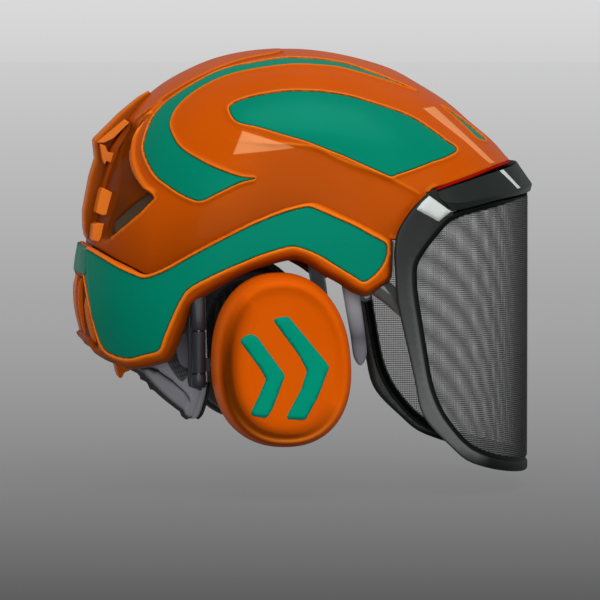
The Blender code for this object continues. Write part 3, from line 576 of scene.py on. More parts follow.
# ------------------------------------------------------------ materials
class Shader:
    """Node tree of a material or world. Inputs take a value or an output to link."""

    def __init__(self, owner):
        owner.use_nodes = True
        self.owner = owner
        self.tree = owner.node_tree

    def feed(self, socket, value):
        if isinstance(value, bpy.types.NodeSocket):
            self.tree.links.new(value, socket)
        elif socket.type == 'RGBA':
            socket.default_value = (*value, 1)
        else:
            socket.default_value = value

    def fill(self, node, **settings):
        """Set inputs (spaces written as _) and plain node settings."""
        for key, value in settings.items():
            name = key.replace('_', ' ')
            if name in node.inputs.keys():
                self.feed(node.inputs[name], value)
            else:
                setattr(node, key, value)
        return node

    def add(self, kind, **settings):
        return self.fill(self.tree.nodes.new('ShaderNode' + kind), **settings)

    def finish(self, **inputs):
        """Set the main shader's inputs and give the material."""
        self.fill(self.tree.nodes["Principled BSDF"], **inputs)
        return self.owner

    def coords(self, source=None, **mapping):
        """Mapped object coordinates."""
        source = source or self.add('TexCoord').outputs['Object']
        return self.add('Mapping', Vector=source, **mapping).outputs['Vector']

    def noise(self, scale, detail=3.0, rough=0.5, vector=None):
        return self.add('TexNoise', Scale=scale, Detail=detail, Roughness=rough,
                        Vector=vector or self.coords()).outputs['Fac']

    def ramp(self, fac, low, high, start=0.3, end=0.7, between=()):
        node = self.add('ValToRGB', Fac=fac)
        stops = node.color_ramp.elements
        for stop, place, colour in ((stops[0], start, low), (stops[1], end, high)):
            stop.position = place
            stop.color = (*colour, 1)
        for place, colour in between:
            stops.new(place).color = (*colour, 1)
        return node.outputs['Color']

    def mix(self, fac, first, second, mode='MIX'):
        node = self.add('Mix', data_type='RGBA', blend_type=mode)
        # sockets 6 and 7 are the colours A and B, output 2 is the colour
        for index, value in ((0, fac), (6, first), (7, second)):
            self.feed(node.inputs[index], value)
        return node.outputs[2]

    def mix_shader(self, fac, first, second):
        node = self.add('MixShader', Fac=fac)
        self.feed(node.inputs[1], first)
        self.feed(node.inputs[2], second)
        return node.outputs['Shader']

    def attribute(self, name):
        return self.add('Attribute', attribute_name=name).outputs['Fac']

    def maths(self, operation, first, second):
        node = self.add('Math', operation=operation)
        self.feed(node.inputs[0], first)
        self.feed(node.inputs[1], second)
        return node.outputs[0]

    def plus(self, first, second, share):
        """First plus a share of second."""
        return self.maths('ADD', first, self.maths('MULTIPLY', second, share))

    def remap(self, value, low, high, start=0.0, end=1.0):
        return self.add('MapRange', Value=value, From_Min=start, From_Max=end, To_Min=low,
                        To_Max=high).outputs['Result']

    def bump(self, height, strength, distance=0.0002, **normal):
        return self.add('Bump', Strength=strength, Distance=distance, Height=height,
                        **normal).outputs['Normal']


def new_shader(name):
    return Shader(bpy.data.materials.new(name))


def moulded(name, colour, rough, coat, drift, grain=0.0, grain_scale=900, specular=0.5,
            tint=(1, 1, 1), ior=1.5, **layers):
    """Moulded plastic: slight colour drift, fine orange peel or grain.

    layers are colours laid over the base where their attributes are high: painted shade (shade),
    painted highlights, and painted reflections (lit).
    """
    k = new_shader(name)
    low = tuple(max(0.0, c * (1 - drift)) for c in colour)
    high = tuple(min(1.0, c * (1 + drift)) for c in colour)
    base = k.ramp(k.noise(22, 4), low, high)
    for layer in ("shade", "edge", "lit"):
        if layer in layers:
            base = k.mix(k.attribute(layer), base, layers[layer])
    scratch = k.noise(260, 6, 0.7)
    wear = k.plus(k.maths('MULTIPLY', k.noise(35, 5, 0.6), 0.6), scratch, 0.4)
    normal = k.bump(k.noise(500, 2), 0.02 if grain else 0.04)
    if grain:
        normal = k.bump(k.noise(grain_scale, 3, 0.6), grain, 0.00012, Normal=normal)
    # highlights fade towards grazing angles
    facing = k.add('LayerWeight', Blend=0.5).outputs['Facing']
    level = k.remap(facing, specular, specular * 0.04, 0.45, 0.92)
    if "shade" in layers:
        level = k.maths('MULTIPLY', level, k.remap(k.attribute("shade"), 1.0, 0.15))
    return k.finish(Base_Color=base, Roughness=k.remap(wear, rough - 0.06, rough + 0.08),
                    Normal=normal, Specular_Tint=tint, Specular_IOR_Level=level, IOR=ior,
                    Coat_Weight=coat, Coat_Roughness=0.3 if grain else 0.08)


# LIT is the colour of painted reflections on facets; the layer colours below are painted highlights,
# painted shade and painted reflections
WARM, COOL, LIT = (1.0, 0.42, 0.10), (0.10, 1.0, 0.72), (0.95, 0.34, 0.12)
ORANGE = moulded("orange_gloss", (0.62, 0.090, 0.0004), rough=0.24, coat=0.03, drift=0.04,
                 edge=(1.0, 0.235, 0.012), shade=(0.105, 0.022, 0.0014), lit=LIT,
                 specular=0.40, tint=WARM, ior=1.3)
# the shell's orange made paler for the cups as painted light; also rougher and less glossy
ORANGE_CUP_BRIGHTENED = moulded("orange_cup", (0.80, 0.112, 0.0003), rough=0.34, coat=0.0, drift=0.03,
                     edge=(1.0, 0.235, 0.02), shade=(0.080, 0.016, 0.001), lit=LIT,
                     specular=0.16, tint=WARM)
GREEN = moulded("green_gloss", (0.0004, 0.238, 0.146), rough=0.28, coat=0.0, drift=0.03,
                shade=(0.001, 0.10, 0.06), specular=0.36, tint=COOL, ior=1.3)
# the panels' green made paler for the chevrons as painted light; also rougher and less glossy
GREEN_CUP_BRIGHTENED = moulded("green_flat", (0.0004, 0.32, 0.20), rough=0.45, coat=0.0, drift=0.03,
                    shade=(0.001, 0.20, 0.12), specular=0.10, tint=COOL)
BLACK = moulded("satin_black", (0.014, 0.018, 0.017), rough=0.42, coat=0.05, drift=0.12,
                grain=0.25, grain_scale=1100, specular=0.35)
FRAME = moulded("frame_black", (0.0085, 0.0115, 0.0105), rough=0.36, coat=0.03, drift=0.10,
                grain=0.12, grain_scale=1100, edge=(0.135, 0.143, 0.140),
                shade=(0.003, 0.004, 0.004), specular=0.24)
GREY = moulded("nylon_grey", (0.20, 0.20, 0.235), rough=0.42, coat=0.05, drift=0.08,
               grain=0.2, grain_scale=1000, edge=(0.50, 0.50, 0.55),
               shade=(0.016, 0.016, 0.019), specular=0.35)
# grey nylon made paler for the nape cradle as painted light, since the cradle faces down
NAPE_BRIGHTENED = moulded("nape_grey", (0.44, 0.44, 0.50), rough=0.42, coat=0.03, drift=0.06,
               grain=0.2, grain_scale=1000, edge=(0.62, 0.62, 0.66),
               shade=(0.010, 0.010, 0.013), specular=0.3)
# pale plastic for the plates that stand in for highlights on the visor and the bar
PAINTED_GLINT = moulded("pale_facet", (0.72, 0.78, 0.75), rough=0.30, coat=0.2, drift=0.04)
RED = moulded("seal_red", (0.50, 0.002, 0.002), rough=0.5, coat=0.0, drift=0.08, grain=0.1,
              specular=0.15, tint=(1.0, 0.1, 0.1))
# dark brown for the plate behind the vents, standing in for the shade in them
VENT_SHADE = moulded("grille_brown", (0.075, 0.045, 0.022), rough=0.5, coat=0.0, drift=0.1,
                 grain=0.2, specular=0.2)
BAR_BLACK = moulded("bar_black", (0.012, 0.017, 0.015), rough=0.3, coat=0.03, drift=0.10,
                    grain=0.1, grain_scale=1100, specular=0.24, edge=(0.05, 0.055, 0.053),
                    shade=(0.004, 0.005, 0.005))
# black nylon with a lighter base colour as painted sheen, and real gloss on top
HORN_SHEEN = moulded("stay_horn", (0.10, 0.115, 0.105), rough=0.16, coat=0.8, drift=0.1, specular=0.9)


def metal(name, colour, rough, metallic=1.0):
    """Brushed metal: noise stretched across z."""
    k = new_shader(name)
    brushed = k.noise(120, 5, 0.6, k.coords(Scale=(1, 1, 40)))
    return k.finish(Base_Color=k.ramp(brushed, tuple(c * 0.85 for c in colour), colour),
                    Roughness=k.remap(brushed, rough - 0.08, rough + 0.12),
                    Normal=k.bump(brushed, 0.08, 0.0001), Metallic=metallic)


STEEL = metal("pin_steel", (0.52, 0.53, 0.55), rough=0.28)
ARM = metal("arm_coated", (0.026, 0.029, 0.036), rough=0.38, metallic=0.2)
# lighter metal for the strip that stands in for the highlight on the arm's front edge
ARM_GLINT = metal("arm_edge", (0.36, 0.37, 0.40), rough=0.32, metallic=0.4)


def wire_metal():
    k = new_shader("screen_wire")
    mottle = k.noise(240, 4, 0.6)
    base = k.mix(k.attribute("shade"), k.ramp(mottle, (0.26, 0.26, 0.264), (0.36, 0.36, 0.364)),
                 (0.030, 0.030, 0.031))
    return k.finish(Base_Color=base, Roughness=k.remap(mottle, 0.42, 0.6),
                    Normal=k.bump(mottle, 0.05, 0.0001), Metallic=0.2)


WIRE = wire_metal()


def weave(name, low, high, scale=900.0, rough=0.9, strength=0.6, sheen=0.4):
    """Cloth from two crossed wave fields in object space."""
    k = new_shader(name)
    source = k.add('TexCoord').outputs['Object']
    fields = [k.add('TexWave', Scale=scale / 6.283, Distortion=1.2, Detail=2,
                    Vector=k.coords(source, Rotation=rotation)).outputs['Fac']
              for rotation in ((0, 0, 0.6), (0.7, 0.4, -0.5))]
    height = k.plus(k.maths('MULTIPLY', *fields), k.noise(1400, 4, 0.7), 0.6)
    base = k.mix(k.remap(k.noise(60, 4), 0.0, 0.5), k.ramp(height, low, high, 0.2, 0.9), low)
    return k.finish(Base_Color=base, Roughness=rough, Normal=k.bump(height, strength, 0.0004),
                    Sheen_Weight=sheen, Sheen_Roughness=0.5)


PAD_CLOTH = weave("pad_cloth", (0.012, 0.013, 0.015), (0.075, 0.078, 0.085))
FUZZ = weave("nape_fuzz", (0.04, 0.042, 0.05), (0.22, 0.225, 0.25), scale=700)
CUP_FOAM = weave("cup_foam_open", (0.012, 0.012, 0.013), (0.06, 0.06, 0.065), scale=500,
                 rough=0.95, strength=0.9, sheen=0.1)


def leatherette():
    k = new_shader("cushion_vinyl")
    cells = k.add('TexVoronoi', Scale=700, Vector=k.coords()).outputs['Distance']
    height = k.plus(cells, k.noise(180, 4), 0.7)
    base = k.ramp(k.noise(30, 4), (0.012, 0.012, 0.014), (0.026, 0.026, 0.029))
    return k.finish(Base_Color=base, Roughness=k.remap(k.noise(90, 4), 0.38, 0.55),
                    Normal=k.bump(height, 0.35, 0.0003), Coat_Weight=0.08)


def liner_foam():
    k = new_shader("liner_foam")
    cells = k.add('TexVoronoi', Scale=380, Vector=k.coords()).outputs['Distance']
    base = k.ramp(cells, (0.035, 0.033, 0.031), (0.018, 0.017, 0.016), 0.1, 0.8)
    return k.finish(Base_Color=base, Roughness=0.85, Normal=k.bump(cells, 0.5, 0.0005))


def strap_webbing():
    k = new_shader("strap_webbing")
    threads = k.add('TexWave', Scale=260, bands_direction='DIAGONAL',
                    Vector=k.add('TexCoord').outputs['Object']).outputs['Fac']
    height = k.plus(threads, k.noise(900, 3), 0.5)
    base = k.ramp(height, (0.03, 0.03, 0.035), (0.10, 0.10, 0.115), 0.2, 1.0)
    return k.finish(Base_Color=base, Roughness=0.8, Normal=k.bump(height, 0.6, 0.0003),
                    Sheen_Weight=0.2)


VINYL = leatherette()
LINER_FOAM = liner_foam()
WEBBING = strap_webbing()

# ------------------------------------------------------------ side outlines, (x, z)
# where the crown meets the lower shell, rear to front, and on along the brow
RIDGE = [(-170, 41), (-141, 38.5), (-124.3, 30.3), (-114, 25.3), (-106, 21.6), (-97.7, 24.2),
         (-72, 38.4), (-55.6, 47.1), (-39.7, 55.7), (-21.8, 62.4), (-8.8, 66), (-1.4, 66),
         (12.2, 59.8), (31.4, 50.5), (42.6, 44)]
BROW = [(46.6, 43), (54, 41.5), (64, 44), (70, 52), (71, 62), (69.3, 72.9), (79.3, 76.4),
        (96.4, 81.6), (111.3, 86.2), (119.7, 88.3), (134, 90.5), (170, 96)]
# lower edge of the lower shell
RIM = [(-170, -18), (-139.9, -24.4), (-133.9, -31.1), (-121.3, -37), (-114.4, -39),
       (-97.7, -34.5), (-91.5, -29.7), (-84.2, -10.9), (-78.8, 2.4), (-63.7, 13.3),
       (-45.5, 23.2), (-28.9, 28.7), (-16, 31), (-6.7, 27.4), (-0.5, 23), (11.9, 16.2),
       (18.1, 11.8), (25.5, 8.6), (30.5, 8.6), (36.8, 12.3), (43.1, 16.5), (45.7, 21.4),
       (46.3, 29.4), (46.6, 43)]
# green inlays
BAND = [(-138.5, 33.5), (-130.9, 31), (-121, 25), (-110.6, 20.5), (-105.4, 19.4),
        (-94.8, 23.6), (-78.6, 33.3), (-62.3, 42.4), (-45.9, 50.8), (-34.8, 55.7),
        (-23.7, 60), (-12.6, 63), (-7, 63.6), (-1.5, 61.7), (9.6, 56.8), (20.8, 51.8),
        (32, 45.6), (40.2, 41), (41, 37), (40.7, 33.2), (37.5, 26.4), (31.8, 20.3),
        (26.2, 17.3), (20.6, 20.4), (9.4, 27.3), (-1.7, 34.1), (-12.8, 38.5), (-20.2, 39.1),
        (-35, 34.9), (-46, 30.6), (-62.5, 23.2), (-78.8, 14.4), (-84.2, 8.2), (-89.6, -3),
        (-94.9, -16.7), (-97.8, -24.9), (-105.4, -27.7), (-115.8, -30.8), (-126, -27.9),
        (-131.1, -20.8), (-135.5, -3), (-138.5, 16)]
STRIPE = [(68, 134.1), (39.3, 146), (18, 152.6), (-11.1, 155.1), (-34.3, 152.2),
          (-52.8, 148.3), (-67.6, 141.7), (-86, 130.5), (-97.5, 119.3), (-103.9, 105.8),
          (-105.2, 96), (-100.1, 83.4), (-92.1, 76.2), (-82.9, 70.2), (-73.4, 67.2),
          (-63.7, 71.6), (-49.1, 78.7), (-39.3, 81.4), (-49, 82.4), (-63.3, 87.5),
          (-72.7, 92.3), (-82, 98.3), (-86.4, 103.7), (-89.2, 112.8), (-86.1, 121.4),
          (-79.5, 128.8), (-69.2, 136.2), (-54, 143.4), (-35.2, 148), (-12.4, 150.8),
          (6.4, 150.2), (21.6, 148.3), (47, 141)]
LEAF = [(-53.6, 124.1), (-49.7, 127.5), (-42.2, 130.3), (-31, 132.7), (-16, 134.6),
        (3.4, 134.2), (21.4, 131.4), (36.4, 127), (51.5, 122), (62.9, 117), (74.1, 109.6),
        (81.5, 104), (89, 98), (80.3, 93.3), (72.1, 90.9), (60.1, 86.8), (48.4, 83.2),
        (44.6, 82), (37.1, 85.1), (25.9, 90.1), (14.8, 95.1), (3.8, 99.4), (-7.2, 103.7),
        (-21.8, 108), (-36.3, 112.3), (-47.1, 114.7), (-51.7, 118)]
TIP = [(83.9, 124.6), (92.5, 119.6), (100.8, 113.6), (108, 107.8), (112.5, 103.2),
       (105.3, 104.3), (98.5, 111.2), (91.3, 118)]
# crown features: crease under the leaf, ridge behind the stripe, rear recess and its vent
CREASE = [(-57, 104.6), (-36, 102.8), (-11.6, 101.6), (0.6, 98.8), (15.8, 91.5), (37.5, 83.5),
          (49, 78.6), (62, 71.5)]
ARC = [(-93, 127.3), (-100.7, 119.8), (-105.9, 113.0), (-109.4, 105.0), (-111.2, 97.6),
       (-111.1, 89.7), (-108.7, 81.3), (-105.0, 75.3), (-101.0, 72.3)]
RECESS = [(-115.9, 105.2), (-106.6, 114.8), (-98.3, 121.1), (-104.0, 114.9), (-108.2, 107.8),
          (-111.7, 100.6), (-113.4, 96.0), (-113.3, 88.5), (-110.6, 80.6), (-105.8, 74.2),
          (-100.2, 68.6), (-117.6, 51.6), (-128.9, 42.6), (-130.3, 48.5), (-126.5, 62.6),
          (-123.9, 72.6), (-122.4, 83.7), (-121.5, 92.7), (-119.4, 99.0)]
VENT = [(-102.4, 69.0), (-105.8, 72.4), (-113.0, 67.6), (-121.0, 60.0), (-127.0, 53.6),
        (-127.4, 46.6), (-117.2, 54.4)]
# flat facets with a painted reflection
FACETS = ([(-46.7, 110.7), (-13.0, 99.9), (-53.5, 95.4)],
          [(69.1, 123.7), (78.2, 124.7), (99.7, 104.2), (113.7, 91.0), (116.4, 89.2),
           (111.6, 88.6), (107.0, 92.4), (94.3, 103.7)])
# edge of the raised crown strip, in plan (x, y)
STRIP = [(-117, -17), (-108, -27), (-99, -34), (-92, -35.5), (-79, -36.5), (-60, -34),
         (-42, -31), (-30, -28.5), (-20, -26), (-15, -20)]

# ------------------------------------------------------------ crown shell
RIDGE_LINE = smooth(RIDGE, 3, False)
CROWN_EDGE = shell_edge(RIDGE_LINE + smooth(BROW, 3, False))


def crown_tuck(points):
    """Distance to the crown's edge, weight along x, and how deep the crown sinks there."""
    distance = distance_to(points, shell_point(*CROWN_EDGE), closed=False)
    weight = interp(points[:, 0], [-130, -90, -20, 45, 60], [0.7, 1.0, 0.8, 0.45, 0.0])
    return distance, weight, 3.4 * weight * clamp(1 - distance / 44) ** 2


def crown_shell():
    border = flatten(*CROWN_EDGE)
    border[[0, -1], 1] = 0.0
    boundary = np.vstack([border, centre_line(border[-1, 0], border[0, 0], 2.0)])
    panels = [shell_loop(smooth(outline, 4)) for outline in (STRIPE, LEAF, TIP)]
    recess, vent = shell_loop(smooth(RECESS, 2)), shell_loop(VENT)
    facets = [shell_loop(outline, step=1.0) for outline in FACETS]
    crease_side = open_curve(CREASE, 4, 1.2)
    crease = side_to_shell(crease_side)
    arc = side_to_shell(open_curve(ARC, 4, 1.2))
    strip_plan = open_curve(STRIP, 3, 1.4)
    strip_z = station(plan_level(*strip_plan.T))[:, 0]
    strip = project(np.column_stack([strip_plan, strip_z]))

    loops = []
    for panel in panels:
        loops += contours(panel, -0.5, 0.0, 0.2, 0.6, 1.2, 2.0, 3.2)
    loops += contours(recess, -3.2, -2.2, -1.2, -0.4, 0.0, 0.6)
    loops += contours(vent, 0)
    for facet in facets:
        loops += contours(facet, 0, -0.8)
    lines = [flatten(*crease)] + open_contours(crease, -2.4, -1.2, -0.5, 0.5, 1.2)
    lines += open_contours(arc, -3.0, -2.2, -1.2, 0, 1.2, 2.2, 3.0)
    lines += edge_contours(CROWN_EDGE, 0.5, 1.2, 2.2, 3.6, 6.0)
    lines += open_contours(strip, -2.4, -1.2, -0.5, 0.0, 0.5, 1.2, 2.4)
    flat, faces = triangulate(boundary, loops, 1.75, lines)
    surface = shell_point(*unflatten(flat))
    x, y, z = surface.T
    # painted highlights and painted reflections, laid over the orange
    edge, lit = np.zeros(len(x)), np.zeros(len(x))

    # tuck under the band's ridge, stronger at the rear, with painted shade in it
    to_edge, rear_weight, tuck = crown_tuck(surface)
    lift = -tuck
    shade = (0.56 * rear_weight * clamp(1 - to_edge / 40) ** 1.2
             * interp(x, [-100, -40, 40], [1, 0.62, 0.2]))
    # brow edge: a soft raised bead with a painted highlight along it
    bead = interp(to_edge, [0, 0.6, 1.4, 2.6, 4.5], [-0.5, 0.45, 0.6, 0.25, 0.0])
    lift += np.where(x > 44, bead, 0)
    edge += np.where((x > 44) & (x < 74),
                     interp(to_edge, [0, 0.5, 1.6, 3.0], [0.3, 0.55, 0.4, 0.0]), 0)
    # crease under the leaf: the surface below it steps in; a painted highlight runs along the crease
    # and painted shade lies below it
    d = distance_to(surface, shell_point(*crease), closed=False)
    below = z < interp(x, *crease_side.T)
    fade = interp(x, [-57, -30, 40, 62], [0.0, 1.0, 1.0, 0.7]) * (x < 63) * (x > -57)
    lift -= np.where(below, 2.3 * (1 - exp(-d / 4.5)) * exp(-d / 60), 0) * fade
    lift += 0.35 * gauss(d, 1.1) * fade
    edge += 0.55 * gauss(d, 0.8) * fade
    shade += np.where(below, 0.10, 0) * fade
    # ridge arc behind the stripe, with a painted highlight along it
    d = distance_to(surface, shell_point(*arc), closed=False)
    lift += interp(d, [0, 1.0, 1.6, 2.2], [1.5, 1.4, 0.6, 0.0])
    edge += interp(d, [0, 1.4, 2.2, 2.6], [0.42, 0.38, 0.15, 0.0])
    # panel recesses with their raised lips, which carry a painted highlight; painted shade lies
    # under the panels
    for panel in panels:
        d, within = nearness(flat, surface, panel)
        lip = interp(d, [0, 0.2, 0.6, 1.2, 2.0, 3.2], [0.2, 0.75, 0.95, 0.8, 0.35, 0.0])
        lift = np.where(within, lift - interp(d, [0, 0.5], [0.0, 1.3]), lift + lip)
        edge = np.where(within, 0, edge + interp(d, [0, 0.25, 0.9, 1.5], [0.3, 0.8, 0.6, 0.0]))
        shade += np.where(within, 0.6, 0)
    # raised strip on top with a painted highlight along its edge, and a groove round it in painted
    # shade
    d = distance_to(surface, shell_point(*strip), closed=False)
    half = interp(x, strip_plan[:, 0], np.abs(strip_plan[:, 1]))
    within = (np.abs(y) < half) & (x > -118) & (x < -14) & (z > 100)
    groove = -1.1 * exp(-d / 9) * (1 - exp(-d / 0.7)) * (z > 90) * (x < -14)
    lift += np.where(within, 0.35, groove)
    edge += np.where(within, 0.45, 0.0) * gauss(d, 1.0)
    shade += np.where(within, 0, 0.5 * exp(-(d / 2.2)) * (z > 95) * (x < -14))
    # rear recess with vent: painted shade inside it, a painted highlight along its rim
    d, within = nearness(flat, surface, recess)
    lift -= np.where(within, interp(d, [0, 0.4, 1.2, 2.2, 3.2], [0, 0.4, 2.0, 3.4, 4.0]), 0)
    shade += np.where(within, interp(d, [0, 0.8, 3.2], [0.35, 0.7, 0.85]), 0)
    edge += np.where(~within, interp(d, [0, 0.7, 1.3], [0.6, 0.5, 0.0]), 0) * (x > -131)
    # painted shade over the sunken area at the rear; its front limit follows the first line, and
    # ahead of the second it stays within the recess
    limit = interp(z, [38, 60, 80, 100, 113], [-126, -119, -113, -105, -97])
    dark = clamp((limit - x) / 4) * clamp((z - 40) / 3) * clamp((116 - z) / 4)
    middle = interp(z, [40, 60, 80, 96, 105, 115, 121],
                    [-129, -119, -117, -117, -113, -105.3, -98.3])
    dark = np.where(x > middle, np.where(within, dark * clamp(d / 2), 0.0), dark)
    shade = np.maximum(shade, 0.78 * dark)
    edge *= 1 - dark
    lift = np.minimum(lift, lift * (1 - dark) - 3.3 * dark)
    # flat facets, slightly raised, with a painted reflection
    for facet in facets:
        d, within = nearness(flat, surface, facet)
        lit += np.where(within, interp(d, [0, 0.8], [0.0, 0.8]), 0)
        lift += np.where(within, 0.25 * np.minimum(d, 3) / 3, 0)

    ob = make("crown_shell", lifted(flat, lift), cut_holes(flat, faces, [flatten(*vent)]),
              ORANGE, 50, edge=np.clip(edge, 0, 0.9), shade=np.clip(shade, 0, 0.92),
              lit=clamp(lit))
    mirror(ob)
    thicken(ob, CROWN_WALL, even=False)
    put(ob, "helmet", "orange_shell", "shell_upper")


def vent_grille():
    """Dark brown plate behind the rear vents, painted as the shade seen through them."""
    flat, faces = triangulate(contours(shell_loop(VENT), 1.0)[0], [], 2.0)
    curve = unflatten(flat)
    ob = make("vent_grille", shell_point(*curve) - shell_normal(*curve) * 4.9, faces, VENT_SHADE, 60)
    mirror(ob)
    thicken(ob, 1.2)
    put(ob, "helmet", "dark_foam")


def lower_shell():
    top, rim = shell_edge(RIDGE_LINE + [(46.6, 43)]), shell_edge(smooth(RIM, 3, False))
    top_flat, rim_flat = flatten(*top), flatten(*rim)
    top_flat[0, 1] = rim_flat[0, 1] = 0.0
    boundary = np.vstack([rim_flat[:-1], top_flat[::-1][1:],
                          centre_line(top_flat[0, 0], rim_flat[0, 0], 1.8)])
    band = shell_loop(smooth(BAND, 3))
    flat, faces = triangulate(boundary, contours(band, -0.5, 0.0, 0.2, 0.6, 1.2, 2.0), 1.7,
                              edge_contours(rim, 0.4, 1.0, 1.8, 2.8, 4.0, 5.2, 6.5))
    surface = shell_point(*unflatten(flat))
    x, y, z = surface.T
    to_rim = distance_to(surface, shell_point(*rim), closed=False)
    to_top = distance_to(surface, shell_point(*top), closed=False)
    to_band, within = nearness(flat, surface, band)

    # the rim rolls under, less so at the back; painted shade on the roll
    roll = interp(to_rim, [0, 0.4, 1.0, 1.8, 2.8, 4.0, 5.2], [7.0, 6.2, 4.6, 2.8, 1.3, 0.35, 0.0])
    lift = RIM_PROUD - roll * interp(x, [-128, -100], [0.35, 1.0])
    shade = interp(to_rim, [0, 2.5, 4.2, 5.2], [0.8, 0.7, 0.3, 0.0])
    # band recess with a raised lip that carries a painted highlight; painted shade lies under the
    # band
    lip = interp(to_band, [0, 0.2, 0.6, 1.2, 2.0, 3.4], [0.2, 0.7, 0.95, 0.8, 0.35, 0.0])
    lift += np.where(within, -interp(to_band, [0, 0.5], [0, 1.2]), lip)
    lift -= interp(to_top, [0, 0.4, 1.0], [0.9, 0.25, 0.0])
    lip_highlight = interp(to_band, [0, 0.3, 1.6, 2.6], [0.45, 0.95, 0.8, 0.0])
    edge = np.where(within, 0, lip_highlight) * (to_rim > 2.5)
    shade += np.where(within, 0.6, 0)
    # sunken patch low at the back, darkened with painted shade
    back = (clamp((-131.5 - x) / 3) * clamp((18 - z) / 2) * (~within)
            * clamp((to_band - 2.0) / 1.0) * clamp((to_rim - 4.5) / 2))
    lift -= 3.0 * back
    shade = np.maximum(shade, 0.85 * back)
    # painted shade along the rim, deeper towards the back
    shade = np.maximum(shade, 0.42 * (~within) * (to_rim < 7) * clamp((10 - x) / 60))
    ob = make("rim_shell", lifted(flat, lift), faces, ORANGE, 50, edge=np.clip(edge, 0, 0.9),
              shade=np.clip(shade, 0, 0.9), lit=0.0)
    mirror(ob)
    thicken(ob, 2.2)
    put(ob, "helmet", "orange_shell", "shell_lower")


# ------------------------------------------------------------ green inlays
def inlay(name, outline, base, extra, *nodes):
    """Green panel lying base mm off the shell, plus extra(surface points)."""
    curve = project(shell_point(*offset_loop(shell_loop(smooth(outline, 4), step=1.2), -0.12)))
    border = shell_point(*offset_zero(curve))
    flat, faces = triangulate(flatten(*curve), contours(curve, -0.25, -0.6, -1.2), 2.0)
    place = unflatten(flat)
    surface = shell_point(*place)
    d = distance_to(surface, border)
    lift = base + interp(d, [0, 0.25, 0.6, 1.2, 8], [-0.55, -0.12, 0.0, 0.05, 0.15])
    if extra:
        lift += extra(surface)
    ob = make(name, surface + shell_normal(*place) * lift[:, None], faces, GREEN, 50,
              shade=clamp(interp(d, [0, 0.3, 0.9], [0.85, 0.5, 0.0])))
    thicken(ob, 0.7)
    mirror(ob)
    put(ob, "helmet", "green_panel", *nodes)


def offset_zero(curve):
    return curve


def upright_crease(surface):
    """Upright edge where the band turns from the side to the back."""
    line = interp(surface[:, 2], [-30, 8.9, 22.4, 36], [-133.6, -135.6, -136.4, -136.2])
    return 0.9 * exp(-np.abs(surface[:, 0] - line) / 1.6)


def inlays():
    for name, outline, base, extra in (
            ("stripe", STRIPE, 0.05, lambda surface: -crown_tuck(surface)[2]),
            ("leaf", LEAF, 0.05, None), ("tip", TIP, 0.05, None),
            ("band", BAND, RIM_PROUD + 0.05, upright_crease)):
        inlay(f"inlay_{name}_panels", outline, base, extra, f"inlay_{name}_left",
              f"inlay_{name}_right")
    # the band carries on round the back, above the guard
    inlay("inlay_rear_panel", [(-136.6, 36.0), (-139.6, 36.4), (-143.5, 36.6), (-143.5, 19.4),
                               (-141.2, 19.2), (-138.0, 18.8), (-137.0, 28)],
          RIM_PROUD + 0.85, None)


# ------------------------------------------------------------ rear spine, guard and clip
SPINE_RINGS = 72
# outer and inner profile of the spine, top to bottom, (x, z)
SPINE_OUTER = [(-97, 134), (-103.2, 130.4), (-109.7, 125.0), (-116.1, 119.6), (-122.5, 113.2),
               (-132.6, 103.2), (-131.4, 91), (-134.9, 80), (-136.9, 70), (-139.2, 58),
               (-139.0, 47), (-137.4, 40.6)]
SPINE_INNER = [(-94, 128), (-98, 125), (-104, 119.5), (-109, 114), (-114, 108), (-121, 97),
               (-123, 88), (-126.5, 76), (-129.5, 63), (-132.5, 50), (-133.5, 46), (-133.8, 41)]
# raised blocks beside the spine: name, y range, bevel and its segments, lit (painted reflection),
# then per block its outline and painted highlight value
SPINE_BLOCKS = (
    ("spine_rib", -20.6, -7.0, 0.35, 2, 0.12, (
        ([(-131.3, 101.6), (-113.6, 116.2), (-110.8, 114.2), (-121.0, 104.2), (-127.0, 101.4)],
         0.75),
        ([(-129.6, 101.0), (-126.2, 99.6), (-124.4, 95.6), (-120.8, 95.2), (-122.6, 88.6),
          (-125.2, 90.0), (-126.8, 87.8), (-128.2, 91.5)], 0.55))),
    ("rear_block", -38.0, -15.0, 0.6, 3, 0.05, (
        ([(-135.4, 50.4), (-132.6, 51.5), (-126.0, 51.2), (-128.0, 38.4), (-136.2, 40.8)], 0.7),
        ([(-130.6, 71.2), (-129.2, 73.6), (-127.0, 72.8), (-122.0, 70.0), (-123.0, 57.0),
          (-129.4, 56.3), (-133.5, 58.2)], 0.8))))
# middle profile of the rear guard, top to bottom, (x, z)
GUARD = [(-140.3, 19.5), (-143.0, 18.0), (-144.3, 11), (-144.5, 3), (-143.7, -6),
         (-142.0, -14), (-139.8, -21.5), (-136.8, -27.5), (-133.6, -31.5)]
# name, y range, outward height, start along the profile, painted highlight value
GUARD_RIBS = (("mid", -9.5, 9.5, 1.0, 0.0, 0.35), ("slot_rib_r", -24.5, -20.5, 1.2, 0.1, 0.1),
              ("slot_rib_l", 20.5, 24.5, 1.2, 0.1, 0.1), ("right", -43.5, -36.5, 1.2, 0.30, 0.5),
              ("left", 36.5, 43.5, 1.2, 0.30, 0.5))


